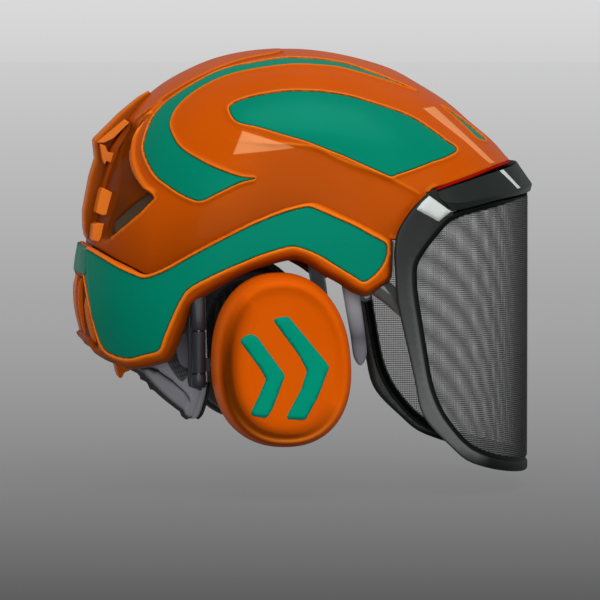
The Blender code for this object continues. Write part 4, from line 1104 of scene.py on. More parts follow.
def spine():
    profiles = []
    for line in (SPINE_OUTER, smooth(SPINE_INNER, 2, False)):
        line = resample(line, 2.0, closed=False)
        at, known = np.linspace(0, 1, SPINE_RINGS), np.linspace(0, 1, len(line))
        profiles.append(np.stack([interp(at, known, line[:, k]) for k in (0, 1)], -1))
    core, flank = [], []
    for i, (outer, inner) in enumerate(zip(*profiles)):
        u = i / (SPINE_RINGS - 1)
        # thin crest with a painted highlight on top and painted shade on its sides, standing on a
        # broader base
        half = interp(u, [0, 0.15, 0.35, 1.0], [3.0, 9.5, 12.5, 11.0])
        x, z = outer * 0.80 + inner * 0.20
        core.append([(outer[0], -half * 0.72, outer[1]), (outer[0], half * 0.72, outer[1]),
                     (x, half, z), (inner[0], half, inner[1]), (inner[0], -half, inner[1]),
                     (x, -half, z)])
        # wide low skirt under it, in painted shade
        half = interp(u, [0, 0.2, 0.4, 1.0], [6, 16, 19.5, 18.0])
        x, z = outer * 0.28 + inner * 0.72
        slope_x, slope_z = inner[0] * 0.5 + x * 0.5 + 0.5, inner[1] * 0.5 + z * 0.5
        flank.append([(x, -8, z), (x, 8, z), (slope_x, half, slope_z),
                      (inner[0] + 3, half, inner[1]), (inner[0] + 3, -half, inner[1]),
                      (slope_x, -half, slope_z)])
    ob = raw_loft("spine_core", core, ORANGE, 25,
                  edge=np.tile([0.55, 0.55, 0.15, 0.0, 0.0, 0.15], SPINE_RINGS),
                  shade=np.tile([0, 0, 0.72, 0.9, 0.9, 0.72], SPINE_RINGS), lit=0.0)
    bevel(ob, 0.4, 2, 20)
    put(ob, "helmet", "orange_shell", "rear_spine")
    ob = raw_loft("spine_flank", flank, ORANGE, 25, edge=0.0, shade=0.55, lit=0.0)
    put(ob, "helmet", "orange_shell")
    for name, y0, y1, width, segments, lit, blocks in SPINE_BLOCKS:
        for i, (outline, edge) in enumerate(blocks):
            ob = prism(f"{name}_{i}", anticlockwise(outline), y0, y1, ORANGE, width, segments, 30)
            # painted highlight and painted reflection on each block
            paint(ob, edge=edge, shade=0.0, lit=lit)
            mirror(ob)
            put(ob, "helmet", "orange_shell")


def guard_piece(name, y0, y1, outward, inward, columns, shade, edge, start, end, *nodes):
    """Upright piece of the guard between y0 and y1, from start to end along the profile."""
    profile = open_curve(GUARD, 4, 1.5)
    last = len(profile) - 1
    first, stop = int(start * last), int(end * last)
    ys = np.linspace(y0, y1, columns)
    rings = []
    for j in range(first, stop + 1):
        u = (j - first) / (stop - first)
        tangent = profile[min(j + 1, last)] - profile[max(j - 1, 0)]
        normal = np.array([-tangent[1], tangent[0]]) / np.linalg.norm(tangent)
        if normal[0] > 0:
            normal = -normal
        taper = min(1.0, sin(pi * min(max(u, 0.02), 0.98)) * 2.2) ** 0.6
        ring = []
        for (x, z), row in ((profile[j] + normal * (outward * taper - 1.0), ys),
                            (profile[j] + normal * inward, ys[::-1])):
            # x follows the curve of the shell's back
            ring += [(x + 145 * (1 - (1 - (abs(y) / 104.0) ** 2.65) ** (1 / 2.65)), y, z)
                     for y in row]
        rings.append(ring)
    ob = loft(name, rings, ORANGE, 40)
    # painted highlight on the ribs, painted shade on the base between them
    paint(ob, edge=edge, shade=shade, lit=0.0)
    bevel(ob, 0.6, 2, 50)
    put(ob, "helmet", "orange_shell", *nodes)


def guard_and_clip():
    guard_piece("guard_base", -43, 43, -1.2, -6.0, 25, 0.85, 0.0, 0.0, 1.0, "rear_guard")
    for name, y0, y1, outward, start, edge in GUARD_RIBS:
        guard_piece(f"guard_rib_{name}", y0, y1, outward, -4.5, 7, 0.0, edge, start, 0.97)
    clip = prism("lamp_clip_hook", [(-119.6, -38.6), (-107.5, -39.6), (-110.2, -43.5),
                                    (-113.6, -44.6), (-115.2, -48.2), (-117.0, -48.3),
                                    (-118.4, -44.2)], -11, 11, ORANGE, 0.9, 3)
    # a light painted highlight over the clip
    paint(clip, edge=0.22, shade=0.0, lit=0.0)
    put(clip, "helmet", "orange_shell", "lamp_clip")


# ------------------------------------------------------------ visor surface
# The visor is an upright wall whose plan is a quarter superellipse from the right side to
# the middle of the front. Its flat coordinates are (distance along the plan, z).
VISOR_X, VISOR_LONG, VISOR_HALF, VISOR_POWER = 40.0, 104.5, 113.6, 2.35
_c, _s, _k = squircle(np.linspace(-pi / 2, 0, 4001), VISOR_POWER)
PLAN_X, PLAN_Y = VISOR_X + VISOR_LONG * _k * _c, VISOR_HALF * _k * _s
PLAN_S = np.concatenate([[0], np.cumsum(np.hypot(np.diff(PLAN_X), np.diff(PLAN_Y)))])
PLAN_END = PLAN_S[-1]


def visor_plan(s):
    """x, y and outward direction at distances along the plan."""
    def at(distance):
        return interp(distance, PLAN_S, PLAN_X), interp(distance, PLAN_S, PLAN_Y)
    s = np.clip(s, 0, PLAN_END)
    x, y = at(s)
    x1, y1 = at(np.minimum(s + 0.3, PLAN_END))
    x0, y0 = at(np.maximum(s - 0.3, 0))
    length = np.maximum(np.hypot(x1 - x0, y1 - y0), 1e-9)
    end = s > PLAN_END - 1e-6
    return (x, y, np.where(end, 1.0, (y1 - y0) / length),
            np.where(end, 0.0, -(x1 - x0) / length))


def visor_line(side, step=1.2):
    """Side outline (x, z) in the visor's flat coordinates."""
    side = resample(side, 0.5, closed=False)
    x = np.clip(side[:, 0], VISOR_X + 0.01, VISOR_X + VISOR_LONG)
    flat = np.stack([interp(x, PLAN_X, PLAN_S), side[:, 1]], -1)
    keep = np.concatenate([[True], np.linalg.norm(np.diff(flat, axis=0), axis=1) > 1e-4])
    return resample(flat[keep], step, closed=False)


def on_visor(flat, lift):
    x, y, nx, ny = visor_plan(flat[:, 0])
    points = np.stack([x + nx * lift, y + ny * lift, flat[:, 1]], -1)
    points[flat[:, 0] > PLAN_END - 1e-6, 1] = 0.0
    return points


# outer edge and opening of the surround, (x, z)
SURROUND = [(144.6, -107.2), (143, -107), (136, -106), (122, -103.5), (107.6, -100),
            (92.3, -94.2), (80.7, -84.4), (67.5, -71.5), (61.2, -60.4), (57.5, -42.5),
            (52.6, -21.5), (48.8, -5.4), (46.3, 7.5), (45.0, 24.8), (44.6, 37.2), (46.9, 49.2),
            (55.6, 62.4), (64.6, 70.9), (66.8, 72.0), (80.4, 59.9), (89, 61), (101, 63.5),
            (112.5, 66), (122.5, 67.3), (131.5, 68.3), (144.6, 69.6)]
OPENING = [(144.6, 67.5), (128, 65.5), (112, 62.5), (92, 58.5), (81.6, 54.4), (74.1, 47.6),
           (66.7, 39), (60.8, 30.4), (59.2, 23), (59.9, 10.2), (63, -8.7), (65.5, -23.5),
           (69.2, -43.4), (74.2, -57.6), (82, -70), (96.5, -84.7), (119, -93.4),
           (142, -97.3), (144.6, -97.4)]
SURROUND_LINE = visor_line(smooth(SURROUND, 3, False))
OPENING_LINE = visor_line(smooth(OPENING, 3, False))
for _line in (SURROUND_LINE, OPENING_LINE):
    _line[[0, -1], 0] = PLAN_END


def beside(line, *distances):
    """Lines on both sides of a flat line, short of its ends."""
    tangent = np.gradient(line, axis=0)
    tangent /= np.linalg.norm(tangent, axis=1, keepdims=True)
    across = np.stack([-tangent[:, 1], tangent[:, 0]], -1)[3:-3]
    return [line[3:-3] + across * (sign * d) for d in distances for sign in (1, -1)]


def visor_surround():
    lines = beside(OPENING_LINE, 0.5, 1.6, 3.0, 3.6, 4.4) + beside(SURROUND_LINE, 0.5, 1.2, 2.0)
    flat, faces = triangulate(np.vstack([SURROUND_LINE, OPENING_LINE]), [], 2.2, lines)
    z = flat[:, 1]
    to_hole = distance_to(flat, OPENING_LINE, False)
    to_edge = distance_to(flat, SURROUND_LINE, False)
    step = interp(to_hole, [0, 0.5, 1.6, 3.0, 3.6, 4.4], [-1.9, -1.4, -1.15, -1.1, -0.35, 0.0])
    lift = interp(to_edge, [0, 0.5, 1.2, 2.0], [-1.4, -0.5, -0.1, 0.0]) + step * (to_edge > 1.0)
    # painted sheen on the face, palest low down, except on the bottom rail at the front, which is in
    # painted shade; a painted highlight runs along the top of the step round the opening, and the
    # step is in painted shade
    face = interp(z, [-104, -96, -84, -60, -20, 30, 60], [0.0, 0.15, 0.95, 0.9, 0.42, 0.10, 0.03])
    edge = clamp(interp(to_hole, [3.2, 4.2], [0, 1]) * face * interp(to_edge, [0, 1.0], [0.25, 1.0]))
    edge += 0.45 * gauss(to_hole - 4.0, 0.7) * interp(z, [-20, 60], [1.0, 0.25])
    low_rail = clamp((visor_plan(flat[:, 0])[0] - 98) / 10) * (z < -60)
    edge *= 1 - 0.95 * low_rail
    shade = np.maximum(interp(to_hole, [0, 3.0, 3.6], [0.9, 0.8, 0.0]), 0.7 * low_rail)
    ob = make("visor_surround", on_visor(flat, lift), faces, FRAME, 45, edge=clamp(edge),
              shade=shade)
    thicken(ob, 4.4)
    mirror(ob)
    put(ob, "visor", "black_nylon", "visor_frame")

    # pale plate painted as the highlight on the corner where the bar meets the surround
    outline = visor_line([(66.4, 70.6), (80.4, 60.6), (72.4, 54.6), (58.2, 62.2), (61.6, 66.4),
                          (66.4, 70.6)], 0.8)[:-1]
    flat, faces = triangulate(outline, [], 2.0)
    lift = interp(distance_to(flat, outline), [0, 0.6], [0.2, 0.55])
    ob = make("corner_facet", on_visor(flat, lift), faces, PAINTED_GLINT, 45)
    thicken(ob, 1.0)
    mirror(ob)
    put(ob, "visor", "black_nylon")


# ------------------------------------------------------------ visor screen
def crossings(outline, place, axis):
    """Intervals inside the outline on the line where the given axis equals place."""
    start, end = outline, np.roll(outline, -1, 0)
    a, b = start[:, axis], end[:, axis]
    hit = (a > place) != (b > place)
    f = (place - a[hit]) / (b[hit] - a[hit])
    other = 1 - axis
    cuts = np.sort(start[hit, other] + f * (end[hit, other] - start[hit, other]))
    return [(cuts[i], cuts[i + 1]) for i in range(0, len(cuts) - 1, 2)]


def screen_wires(name, runs, radius, depth, upright, *nodes):
    """Three-sided wires behind the visor surface; each run is (distances along, heights)."""
    points, faces, base = [], [], 0
    for s, z in runs:
        x, y, nx, ny = visor_plan(s)
        zero = np.zeros(len(s))
        inset = depth - 2.5 * clamp((x - 112) / 26)     # shallower towards the front
        path = np.stack([x - nx * inset, y - ny * inset, z], -1)
        across = np.stack([-ny, nx, zero] if upright else [zero, zero, zero + 1], -1)
        outward = np.stack([nx, ny, zero], -1)
        corner = 2 * pi * np.arange(3) / 3 + pi / 2
        ring = (path[:, None] + across[:, None] * (radius * np.cos(corner))[:, None]
                + outward[:, None] * (radius * np.sin(corner))[:, None])
        points.append(ring.reshape(-1, 3))
        faces += [tuple(base + i for i in face)
                  for face in grid_faces(len(s), 3, flip=True)]
        base += 3 * len(s)
    points = np.concatenate(points)
    # painted shade on the wires, darker towards the front and the bottom
    shade = clamp(interp(points[:, 0], [96, 118, 131, 139, 144], [0.0, 0.22, 0.62, 0.93, 1.0])
                  + interp(points[:, 2], [-97, -60, 30], [0.28, 0.16, 0.0]))
    ob = make(name, points, faces, WIRE, None, shade=shade)
    mirror(ob)
    put(ob, "visor", "mesh_wire", *nodes)


def screen():
    """Level wires in front of upright wires."""
    level_runs, upright_runs = [], []
    for z in np.arange(-97.0, 67.4, SCREEN_PITCH):
        for start, end in crossings(OPENING_LINE, z, 1):
            if end > PLAN_END - 0.6:
                end = PLAN_END
            if end - start >= 3:
                s = np.linspace(start - 1.0, end, max(3, int((end - start) / 3.0)))
                level_runs.append((s, np.full(len(s), z)))
    for s in np.arange(PLAN_END - SCREEN_PITCH / 2, 4, -SCREEN_PITCH):
        for bottom, top in crossings(OPENING_LINE, s, 0):
            upright_runs.append((np.array([s, s]), np.array([bottom - 0.8, top + 0.8])))
    screen_wires("screen_level_wires", level_runs, 0.33, 2.9, False, "visor_mesh")
    screen_wires("screen_upright_wires", upright_runs, 0.18, 3.2, True)


# ------------------------------------------------------------ brow bar and seal
# Edges of the bar from the left corner to the middle of the front, (x, y, z): top, crest,
# lip, underside and inner top. Each is mirrored to the right.
BAR_EDGES = (
    [(70.6, 105, 72.2), (80, 101, 75.4), (92, 94, 78.6), (104, 84.5, 81.9), (115.5, 73, 84.6),
     (126, 57, 86.9), (133, 38, 88.3), (136.8, 19, 89), (138, 0, 89.3)],
    [(74.6, 109, 67.9), (86, 106, 66.6), (99, 100, 67.8), (111, 91.5, 69.3), (121.5, 80, 70.8),
     (131, 65.5, 72.2), (139.5, 47, 73.5), (146, 25, 74.3), (148.6, 0, 74.6)],
    [(81.2, 106.6, 60.9), (89.5, 103.5, 61.7), (101, 98, 64.2), (112.5, 89.5, 66.7),
     (122.5, 78.5, 68), (131.5, 64.5, 69), (139, 46.5, 69.7), (144.8, 25, 70.2), (147, 0, 70.4)],
    [(80.9, 101, 61.2), (88, 98.5, 62.3), (98.9, 93, 64.5), (109.6, 84.4, 67),
     (118.8, 73.6, 68.2), (127, 61, 69.2), (134, 44, 69.9), (139.3, 23.3, 70.4), (141.3, 0, 70.6)],
    [(73.2, 102.6, 69.4), (80.8, 99, 72), (91.6, 92.2, 75), (103.4, 82.8, 78.4),
     (114.7, 71.6, 81.2), (125, 56, 83.5), (132, 37.6, 84.9), (136, 18.8, 85.5), (137.2, 0, 85.7)])


def brow_bar():
    edges = [np.array(smooth(line + [(x, -y, z) for x, y, z in line[::-1][1:]], 6, False))
             for line in BAR_EDGES]
    ob = loft("brow_bar_cap", np.stack(edges, 1), BAR_BLACK, 40)
    bevel(ob, 0.8, 3, 25)
    put(ob, "visor", "black_nylon", "brow_bar")
    paint(ob, edge=0.0, shade=0.0)

    def along(line, place):
        return np.array([interp(place, np.arange(len(line)), column) for column in line.T])

    # slanting pale strip painted as a highlight on each side of the bar, from top edge to crest
    middle = (len(edges[0]) - 1) / 2
    for sign, side in ((1, "right"), (-1, "left")):
        foot = middle + sign * 17.8
        corners = []
        for half_width in (-0.8, 0.8):
            top = along(edges[0], foot + sign * 4.9 + half_width)
            crest = along(edges[1], foot + half_width)
            corners += [top + (crest - top) * f for f in (0.03, 0.93)]
        corners = np.array(corners)
        normal = np.cross(corners[1] - corners[0], corners[2] - corners[0])
        normal /= np.linalg.norm(normal)
        if normal[0] < 0:
            normal = -normal
        ob = make_outward(f"bar_rib_{side}",
                          np.vstack([corners + normal * 0.45, corners - normal * 0.4]),
                          [(0, 1, 3, 2), (4, 6, 7, 5), (0, 2, 6, 4), (1, 5, 7, 3), (0, 4, 5, 1),
                           (2, 3, 7, 6)], PAINTED_GLINT, 40)
        bevel(ob, 0.25)
        put(ob, "visor", "black_nylon")

    ob = prism("bar_corner_gusset", [(65.4, 72.4), (71.4, 74.2), (80.2, 61.2), (77.6, 60.4)],
               -106.6, -101.5, FRAME, 0.4, 2)
    paint(ob, edge=0.0, shade=0.3)
    mirror(ob)
    put(ob, "visor", "black_nylon")


def brow_seal():
    """Soft bead between brow edge and bar."""
    side = resample([(73.5, 74.4)] + BROW[6:], 0.5, closed=False)
    side = side[side_ratio(side) < 0.99999]
    points = resample(shell_point(*side_to_shell(side)), 2.0, closed=False)
    points[-1, 1] = 0
    level, angle = project(points)
    angle[-1] = 0.0
    surface, normal = shell_point(level, angle), shell_normal(level, angle)
    down = unit(np.array([0, 0, -1.0]) - normal * (-normal[:, 2:3]))
    rings = []
    for point, n, d in zip(surface, normal, down):
        centre = point + n * -0.4 + d * 0.75
        rings.append([centre + n * 1.25 * cos(q) + d * 0.70 * sin(q) for q in turn(12)])
    ob = raw_loft("brow_seal", rings, RED, 60)
    mirror(ob)
    put(ob, "helmet", "red_seal", "visor_seal")


# ------------------------------------------------------------ stay and temple arms
def stay_arms():
    """Horn rising from its pivot, and the pivot's boss; distances run along the horn."""
    pivot, aim, length = np.array([56.0, -3.0]), np.array([34.0, 14.5]), 82.0
    forward = (aim - pivot) / np.linalg.norm(aim - pivot)
    side = np.array([-forward[1], forward[0]])
    c, s, k = squircle(turn(20), 2.05)
    rings = []
    for d in np.linspace(-0.055, 1.0, 34) * length:
        bow = 1.6 * sin(pi * max(d, 0) / 40) if d < 40 else 0
        centre = pivot + forward * d + side * -bow
        taper = (min(1.0, sqrt(max(0.02, (d + 4.6) / 4.6)))
                 * min(1.0, sqrt(max(0.02, (length - d) / 4.0))))
        tall = interp(d, [-4.6, 0, 10, 26, 40, 82], [4.4, 5.2, 6.0, 6.6, 4.9, 4.2]) * taper
        thick = interp(d, [-4.6, 0, 12, 28, 40, 82], [2.2, 2.6, 4.4, 4.6, 2.0, 1.7]) * taper
        rings.append(np.stack([centre[0] + side[0] * tall * k * c, -96.5 + thick * k * s,
                               centre[1] + side[1] * tall * k * c], -1))
    pair(raw_loft("stay_horn_right", rings, HORN_SHEEN, 40), "stay_{}", "black_nylon", "stay_arm_{}")
    boss = cone("stay_boss_right", HORN_SHEEN,
                Matrix.Translation((56, -102.2, -3)) @ Matrix.Rotation(pi / 2, 4, 'X'),
                40, (4.6, 4.3), 7.4, 40)
    bevel(boss, 0.5)
    pair(boss, "stay_{}", "black_nylon")


def temple_arms():
    """Upright strap inside each temple with a rounded lower end."""
    heights = np.concatenate([np.linspace(45, -28, 40),
                              -28 - 8 * np.sin(np.linspace(0, pi / 2, 10)[1:])])
    c, s, k = squircle(turn(20), 3)
    rings = []
    for z in heights:
        rear = interp(-z, [-45, -14, 0, 17, 28, 36], [15.5, 15.8, 18.3, 21.4, 23.0, 24.4])
        front = interp(-z, [-45, -12, 6, 22, 28, 36], [25.5, 26.6, 29.2, 31.5, 31.9, 31.4])
        end = sqrt(max(0.0, 1 - max(0.0, (-28 - z) / 8.02) ** 2)) if z < -28 else 1.0
        end = max(end, 0.06)
        y = -82.2 + interp(z, [-36, -22, -8, 20, 45], [1.6, 0.0, -0.9, -0.6, 0.2])
        rings.append(np.stack([(rear + front) / 2 + (front - rear) / 2 * end * k * c,
                               y + 1.7 * end ** 0.5 * k * s - 0.7 * (1 - abs(c) ** 2),
                               np.full(20, z)], -1))
    x, y, z = np.concatenate(rings).T
    # painted highlight in bands on the outer face, strongest high up; painted shade at the lower
    # bend and over the inner face
    edge = interp(z, [-36, -24, -18, -10, 0, 20], [0.25, 0.22, 0.05, 0.45, 0.8, 0.75]) * (y < -82)
    shade = clamp(interp(z, [-36, -26, -19, -12], [0.0, 0.12, 0.40, 0.0]) + 0.8 * (y > -81.6))
    pair(raw_loft("temple_strap_right", rings, GREY, 45, edge=edge, shade=shade), "helmet",
         "grey_nylon", "temple_arm_{}")


# ------------------------------------------------------------ ear defenders
CUP_TURN = turn(180)
# distance from the rim, as a share of the crest's, of the cap's rings
CAP_STEPS = [0.0, 0.02, 0.05, 0.09, 0.14, 0.20, 0.28, 0.38, 0.5, 0.62, 0.75, 0.88, 1.0, 1.12,
             1.25, 1.4, 1.55, 1.7, 1.9, 2.1, 2.35, 2.6]
# raised chevrons on the cap's face, (x, z)
CHEVRONS = {
    "front": [(-30.3, -4.7), (-22.3, -3.5), (2.6, -33.7), (-3.8, -50.8), (-11.8, -65.6),
              (-22.3, -64.9), (-13, -47.8), (-9.3, -36.1), (-14.3, -26.4)],
    "rear": [(-50.9, -17.1), (-45.7, -14), (-42, -15.3), (-24.7, -39.1), (-32.1, -58.1),
             (-35.8, -64.2), (-44.5, -62.4), (-39.5, -52.6), (-34.6, -41), (-38.3, -34.2)]}


def cup_outline(inset, angles=CUP_TURN):
    """Egg outline (x, z) of the ear cup, moved in by inset."""
    c, s, k = squircle(angles, 2.25)
    dx, dz = (EAR_WIDE / 2 - inset) * k * c, (EAR_TALL / 2 - inset) * k * s
    v = dz / (EAR_TALL / 2)
    return np.stack([EAR_X + dx * (1 - 0.05 * v) - 1.6 * v, EAR_Z + dz], -1)


def cup_ring(inset, depth, angles=CUP_TURN):
    """Egg ring at a distance from the middle plane, on the right."""
    x, z = cup_outline(inset, angles).T
    return np.stack([x, np.zeros(len(x)) - depth, z], -1)


def crest(angles):
    """Distance of the ring's crest from the rim: a little broader at the top."""
    return 6.2 + 0.8 * np.sin(angles)


def cap_depth(inset, angles):
    q = inset / crest(angles)
    outer = interp(q, [0, 0.04, 0.12, 0.28, 0.5, 0.75, 1.0],
                   [99, 106, 111, 115.6, 118.6, 120.3, EAR_RING])
    fall = interp(q, [1.0, 1.15, 1.35, 1.6, 1.85, 2.1], [0, 0.08, 0.40, 0.80, 0.96, 1.0])
    return np.where(q < 1, outer, EAR_RING + (EAR_FACE - EAR_RING) * fall)


def cup_inset(side):
    """Angle of side points (x, z) about the cup's centre, and distance in from its outline."""
    centre = np.array([EAR_X, EAR_Z])
    arm, rim = side - centre, cup_outline(0.0) - centre
    angles, rim_angles = np.arctan2(arm[:, 1], arm[:, 0]), np.arctan2(rim[:, 1], rim[:, 0])
    order = np.argsort(rim_angles)
    radius = interp(angles, rim_angles[order], np.linalg.norm(rim, axis=1)[order], period=2 * pi)
    return angles, radius - np.linalg.norm(arm, axis=1)


def ear_cap():
    rings = [cup_ring(*rim) for rim in ((3.0, 93.6), (0.9, 93.6), (0.25, 94.2), (0.0, 96.0))]
    for q in CAP_STEPS:
        inset = q * crest(CUP_TURN)
        rings.append(cup_ring(inset, cap_depth(inset, CUP_TURN)))
    # smooth the section so that the ring rolls over without facets
    rings = np.array(rings)
    for _ in range(3):
        rings[5:-1] = rings[5:-1] * 0.5 + (rings[4:-2] + rings[6:]) * 0.25
    centre = np.array([EAR_X, -EAR_FACE, EAR_Z])
    face = [rings[-1] + (centre - rings[-1]) * f for f in (0.15, 0.3, 0.45, 0.6, 0.75, 0.9)]
    points = np.vstack([rings.reshape(-1, 3)] + face + [centre[None]])
    count, rows = len(CUP_TURN), len(rings) + len(face)
    faces = grid_faces(rows, count)
    faces += [((rows - 1) * count + k, (rows - 1) * count + (k + 1) % count, rows * count)
              for k in range(count)]

    q = np.array([0, 0, 0, 0] + CAP_STEPS)[:, None]
    rim = np.arange(len(rings))[:, None] < 4
    foot = clamp(-np.sin(CUP_TURN - radians(8)))
    # painted highlight: an arc along the crest at the bottom of the cup, and a fainter band on the
    # outer slope at the rear
    edge = (0.85 * gauss(q - 0.95, 0.2) * foot ** 3
            + 0.35 * gauss(q - 0.2, 0.2) * clamp(-np.cos(CUP_TURN)) ** 2)
    # shade the hollow inside the crest, mostly low at the rear, and the underside
    hollow = interp(q, [0.35, 0.8, 1.2, 1.55, 1.85, 2.3, 2.6],
                    [0.0, 0.72, 0.86, 0.84, 0.55, 0.28, 0.12])
    low_rear = clamp(np.cos(CUP_TURN - radians(226)) + 0.16) ** 0.6
    under = (interp(q, [0, 0.1, 0.5, 0.8], [0.65, 0.6, 0.35, 0.0])
             * clamp(-np.sin(CUP_TURN)) ** 2)
    shade = hollow * low_rear + under * ~rim + 0.5 * rim
    plain = np.zeros(len(points) - edge.size)
    cap = make("cap_right", points, faces, ORANGE_CUP_BRIGHTENED, 60, edge=clamp(np.append(edge, plain)),
               shade=np.clip(np.append(shade, plain) * 1.25, 0, .92), lit=0.0)
    thicken(cap, 1.8)
    pair(cap, "ear_cup_{}", "orange_shell", "cup_cap_{}")


def round_corners(outline, radius, steps=5):
    out = []
    for i, corner in enumerate(outline):
        p = np.array(corner)
        back, ahead = np.array(outline[i - 1]) - p, np.array(outline[(i + 1) % len(outline)]) - p
        long_back, long_ahead = np.linalg.norm(back), np.linalg.norm(ahead)
        q = min(radius, long_back * 0.45, long_ahead * 0.45)
        p0, p1 = p + back / long_back * q, p + ahead / long_ahead * q
        for k in range(steps + 1):
            f = k / steps
            out.append(tuple((1 - f) ** 2 * p0 + 2 * f * (1 - f) * p + f * f * p1))
    return out


def chevrons():
    for name, corners in CHEVRONS.items():
        outline = anticlockwise(round_corners(corners, 1.6))
        tangent = np.roll(outline, -1, 0) - np.roll(outline, 1, 0)
        tangent /= np.maximum(np.linalg.norm(tangent, axis=1, keepdims=True), 1e-9)
        outward = np.stack([tangent[:, 1], -tangent[:, 0]], -1)
        outline = resample(outline + outward * 0.95, 0.8)
        flat, faces = triangulate(outline, [], 1.6)
        d = distance_to(flat, outline)
        angles, inset = cup_inset(flat)
        depth = (np.maximum(cap_depth(np.maximum(inset, 0), angles), EAR_FACE)
                 + interp(d, [0, 0.25, 0.6], [0.15, 0.42, 0.45]))
        ob = make(f"chevron_{name}_right", np.stack([flat[:, 0], -depth, flat[:, 1]], -1), faces,
                  GREEN_CUP_BRIGHTENED, 50, shade=interp(d, [0, 0.4], [0.4, 0.0]))
        thicken(ob, 0.7)
        pair(ob, "ear_cup_{}", "green_panel", f"cup_chevron_{name}_{{}}")


def egg_body(name, section, material, hole, segments=120):
    """Closed body of egg rings given as (inset, distance from the middle plane)."""
    rings = [cup_ring(inset, depth, turn(segments)) for inset, depth in section]
    return loft(name, rings, material, 40, loop=hole, flip=True)


def cup_plate_and_lining():
    plate = egg_body("cup_plate_right", [(1.4, 87.6), (0.6, 88.4), (0.5, 92.2), (1.2, 92.9),
                                         (15, 92.9), (15, 87.6)], BLACK, True)
    pair(plate, "ear_cup_{}", "black_nylon", "cup_base_{}")
    lining = egg_body("cup_lining_right", [(13, 93.4), (11, 96), (10, 100), (10, 107), (13, 111),
                                           (18, 113), (30, 113.4)], CUP_FOAM, False, 96)
    pair(lining, "ear_cup_{}", "cup_foam", "cup_foam_{}")


# ------------------------------------------------------------ soft pads
def read_vectors(mesh, key):
    values = np.empty(len(mesh.vertices) * 3, np.float32)
    mesh.vertices.foreach_get(key, values)
    return values.reshape(-1, 3).astype(float)


def write_points(mesh, points):
    mesh.vertices.foreach_set("co", points.astype(np.float32).ravel())


def swell(ob, voxel, limit, pressure=4.0, hold=None, frames=20):
    """Fill a pad like a stuffed cover: remesh it, then blow it up with the cloth solver.

    No point moves further than limit; hold picks the points that stay put.
    """
    bake(ob)
    modify(ob, 'REMESH', mode='VOXEL', voxel_size=voxel * MM, adaptivity=0.0)
    bake(ob)
    mesh = ob.data
    rest = read_vectors(mesh, "co")
    cloth = modify(ob, 'CLOTH')
    settings = cloth.settings
    settings.quality = 4
    settings.mass = 0.15
    settings.tension_stiffness = settings.compression_stiffness = 9
    settings.shear_stiffness = 6
    settings.bending_stiffness = 0.4
    settings.use_pressure = True
    settings.uniform_pressure_force = pressure
    settings.effector_weights.gravity = 0
    cloth.collision_settings.use_collision = False
    cloth.point_cache.frame_start = 1
    cloth.point_cache.frame_end = frames
    if hold is not None:
        group = ob.vertex_groups.new(name="hold")
        held = np.nonzero(hold(to_drawing(rest)))[0]
        group.add([int(i) for i in held], 1.0, 'REPLACE')
        settings.vertex_group_mass = "hold"
    for frame in range(1, frames + 1):
        scene.frame_set(frame)
        ob.evaluated_get(bpy.context.evaluated_depsgraph_get())
    now = read_vectors(ob.evaluated_get(bpy.context.evaluated_depsgraph_get()).data, "co")
    ob.modifiers.clear()
    ob.vertex_groups.clear()
    move = now - rest
    length = np.linalg.norm(move, axis=1, keepdims=True)
    reach = limit * MM
    move = np.where(length > 1e-9,
                    move / np.maximum(length, 1e-9) * reach * np.tanh(length / reach), 0)
    write_points(mesh, rest + np.nan_to_num(move))
    scene.frame_set(1)
    modify(ob, 'SUBSURF', levels=1, render_levels=1)
    bake(ob)
    ob.data.shade_smooth()


def sculpt(ob, field):
    """Move points along their normals by field(points), in drawing mm."""
    points, normals = read_vectors(ob.data, "co"), read_vectors(ob.data, "normal")
    write_points(ob.data, points + normals * (field(to_drawing(points)) * MM)[:, None])
    ob.data.update()


def ear_cushion():
    def seams(points):
        angles, inset = cup_inset(points[:, [0, 2]])
        depth = -points[:, 1]
        outer = inset < 8
        seam = (-0.9 * gauss(depth - 83.2, 0.75) * outer
                + 0.35 * gauss(depth - 84.8, 0.6) * outer)
        pucker = 0.22 * np.sin(angles * 58) * gauss(inset - 15.5, 3.2) * (depth < 84)
        return seam + pucker + 0.16 * np.sin(angles * 44 + 1.0) * gauss(depth - 81.2, 1.8) * outer

    ob = egg_body("cushion_right", [(4.2, 86.6), (2.8, 83.2), (4.4, 78.6), (8.8, 75.4),
                                    (13.8, 76.6), (17.2, 80.8), (17.0, 86.6)], VINYL, True, 100)
    swell(ob, 2.4, 1.8, hold=lambda points: points[:, 1] < -85.4)
    sculpt(ob, seams)
    pair(ob, "ear_cup_{}", "cushion_vinyl", "cup_cushion_{}")


# ------------------------------------------------------------ harness
HEAD_X, HEAD_LONG, HEAD_WIDE = -10.0, 96.0, 78.0      # head outline's centre and half sizes
HEAD_SLOPE = 0.30                                     # rise of the band towards the front


def head_outline(angle, outward):
    c, s, k = squircle(angle, 2.2)
    return HEAD_X + (HEAD_LONG + outward) * k * c, (HEAD_WIDE + outward) * k * s


def band_height(points_x):
    return HEAD_SLOPE * (points_x - HEAD_X)


def head_loft(name, angles, section, material, loop):
    """Band round the head; section(angle) gives (outward, height) pairs."""
    rings = []
    for angle in angles:
        ring = []
        for outward, height in section(angle):
            x, y = head_outline(angle, outward)
            ring.append((x, y, height + band_height(x)))
        rings.append(ring)
    return loft(name, rings, material, 35, loop=loop)


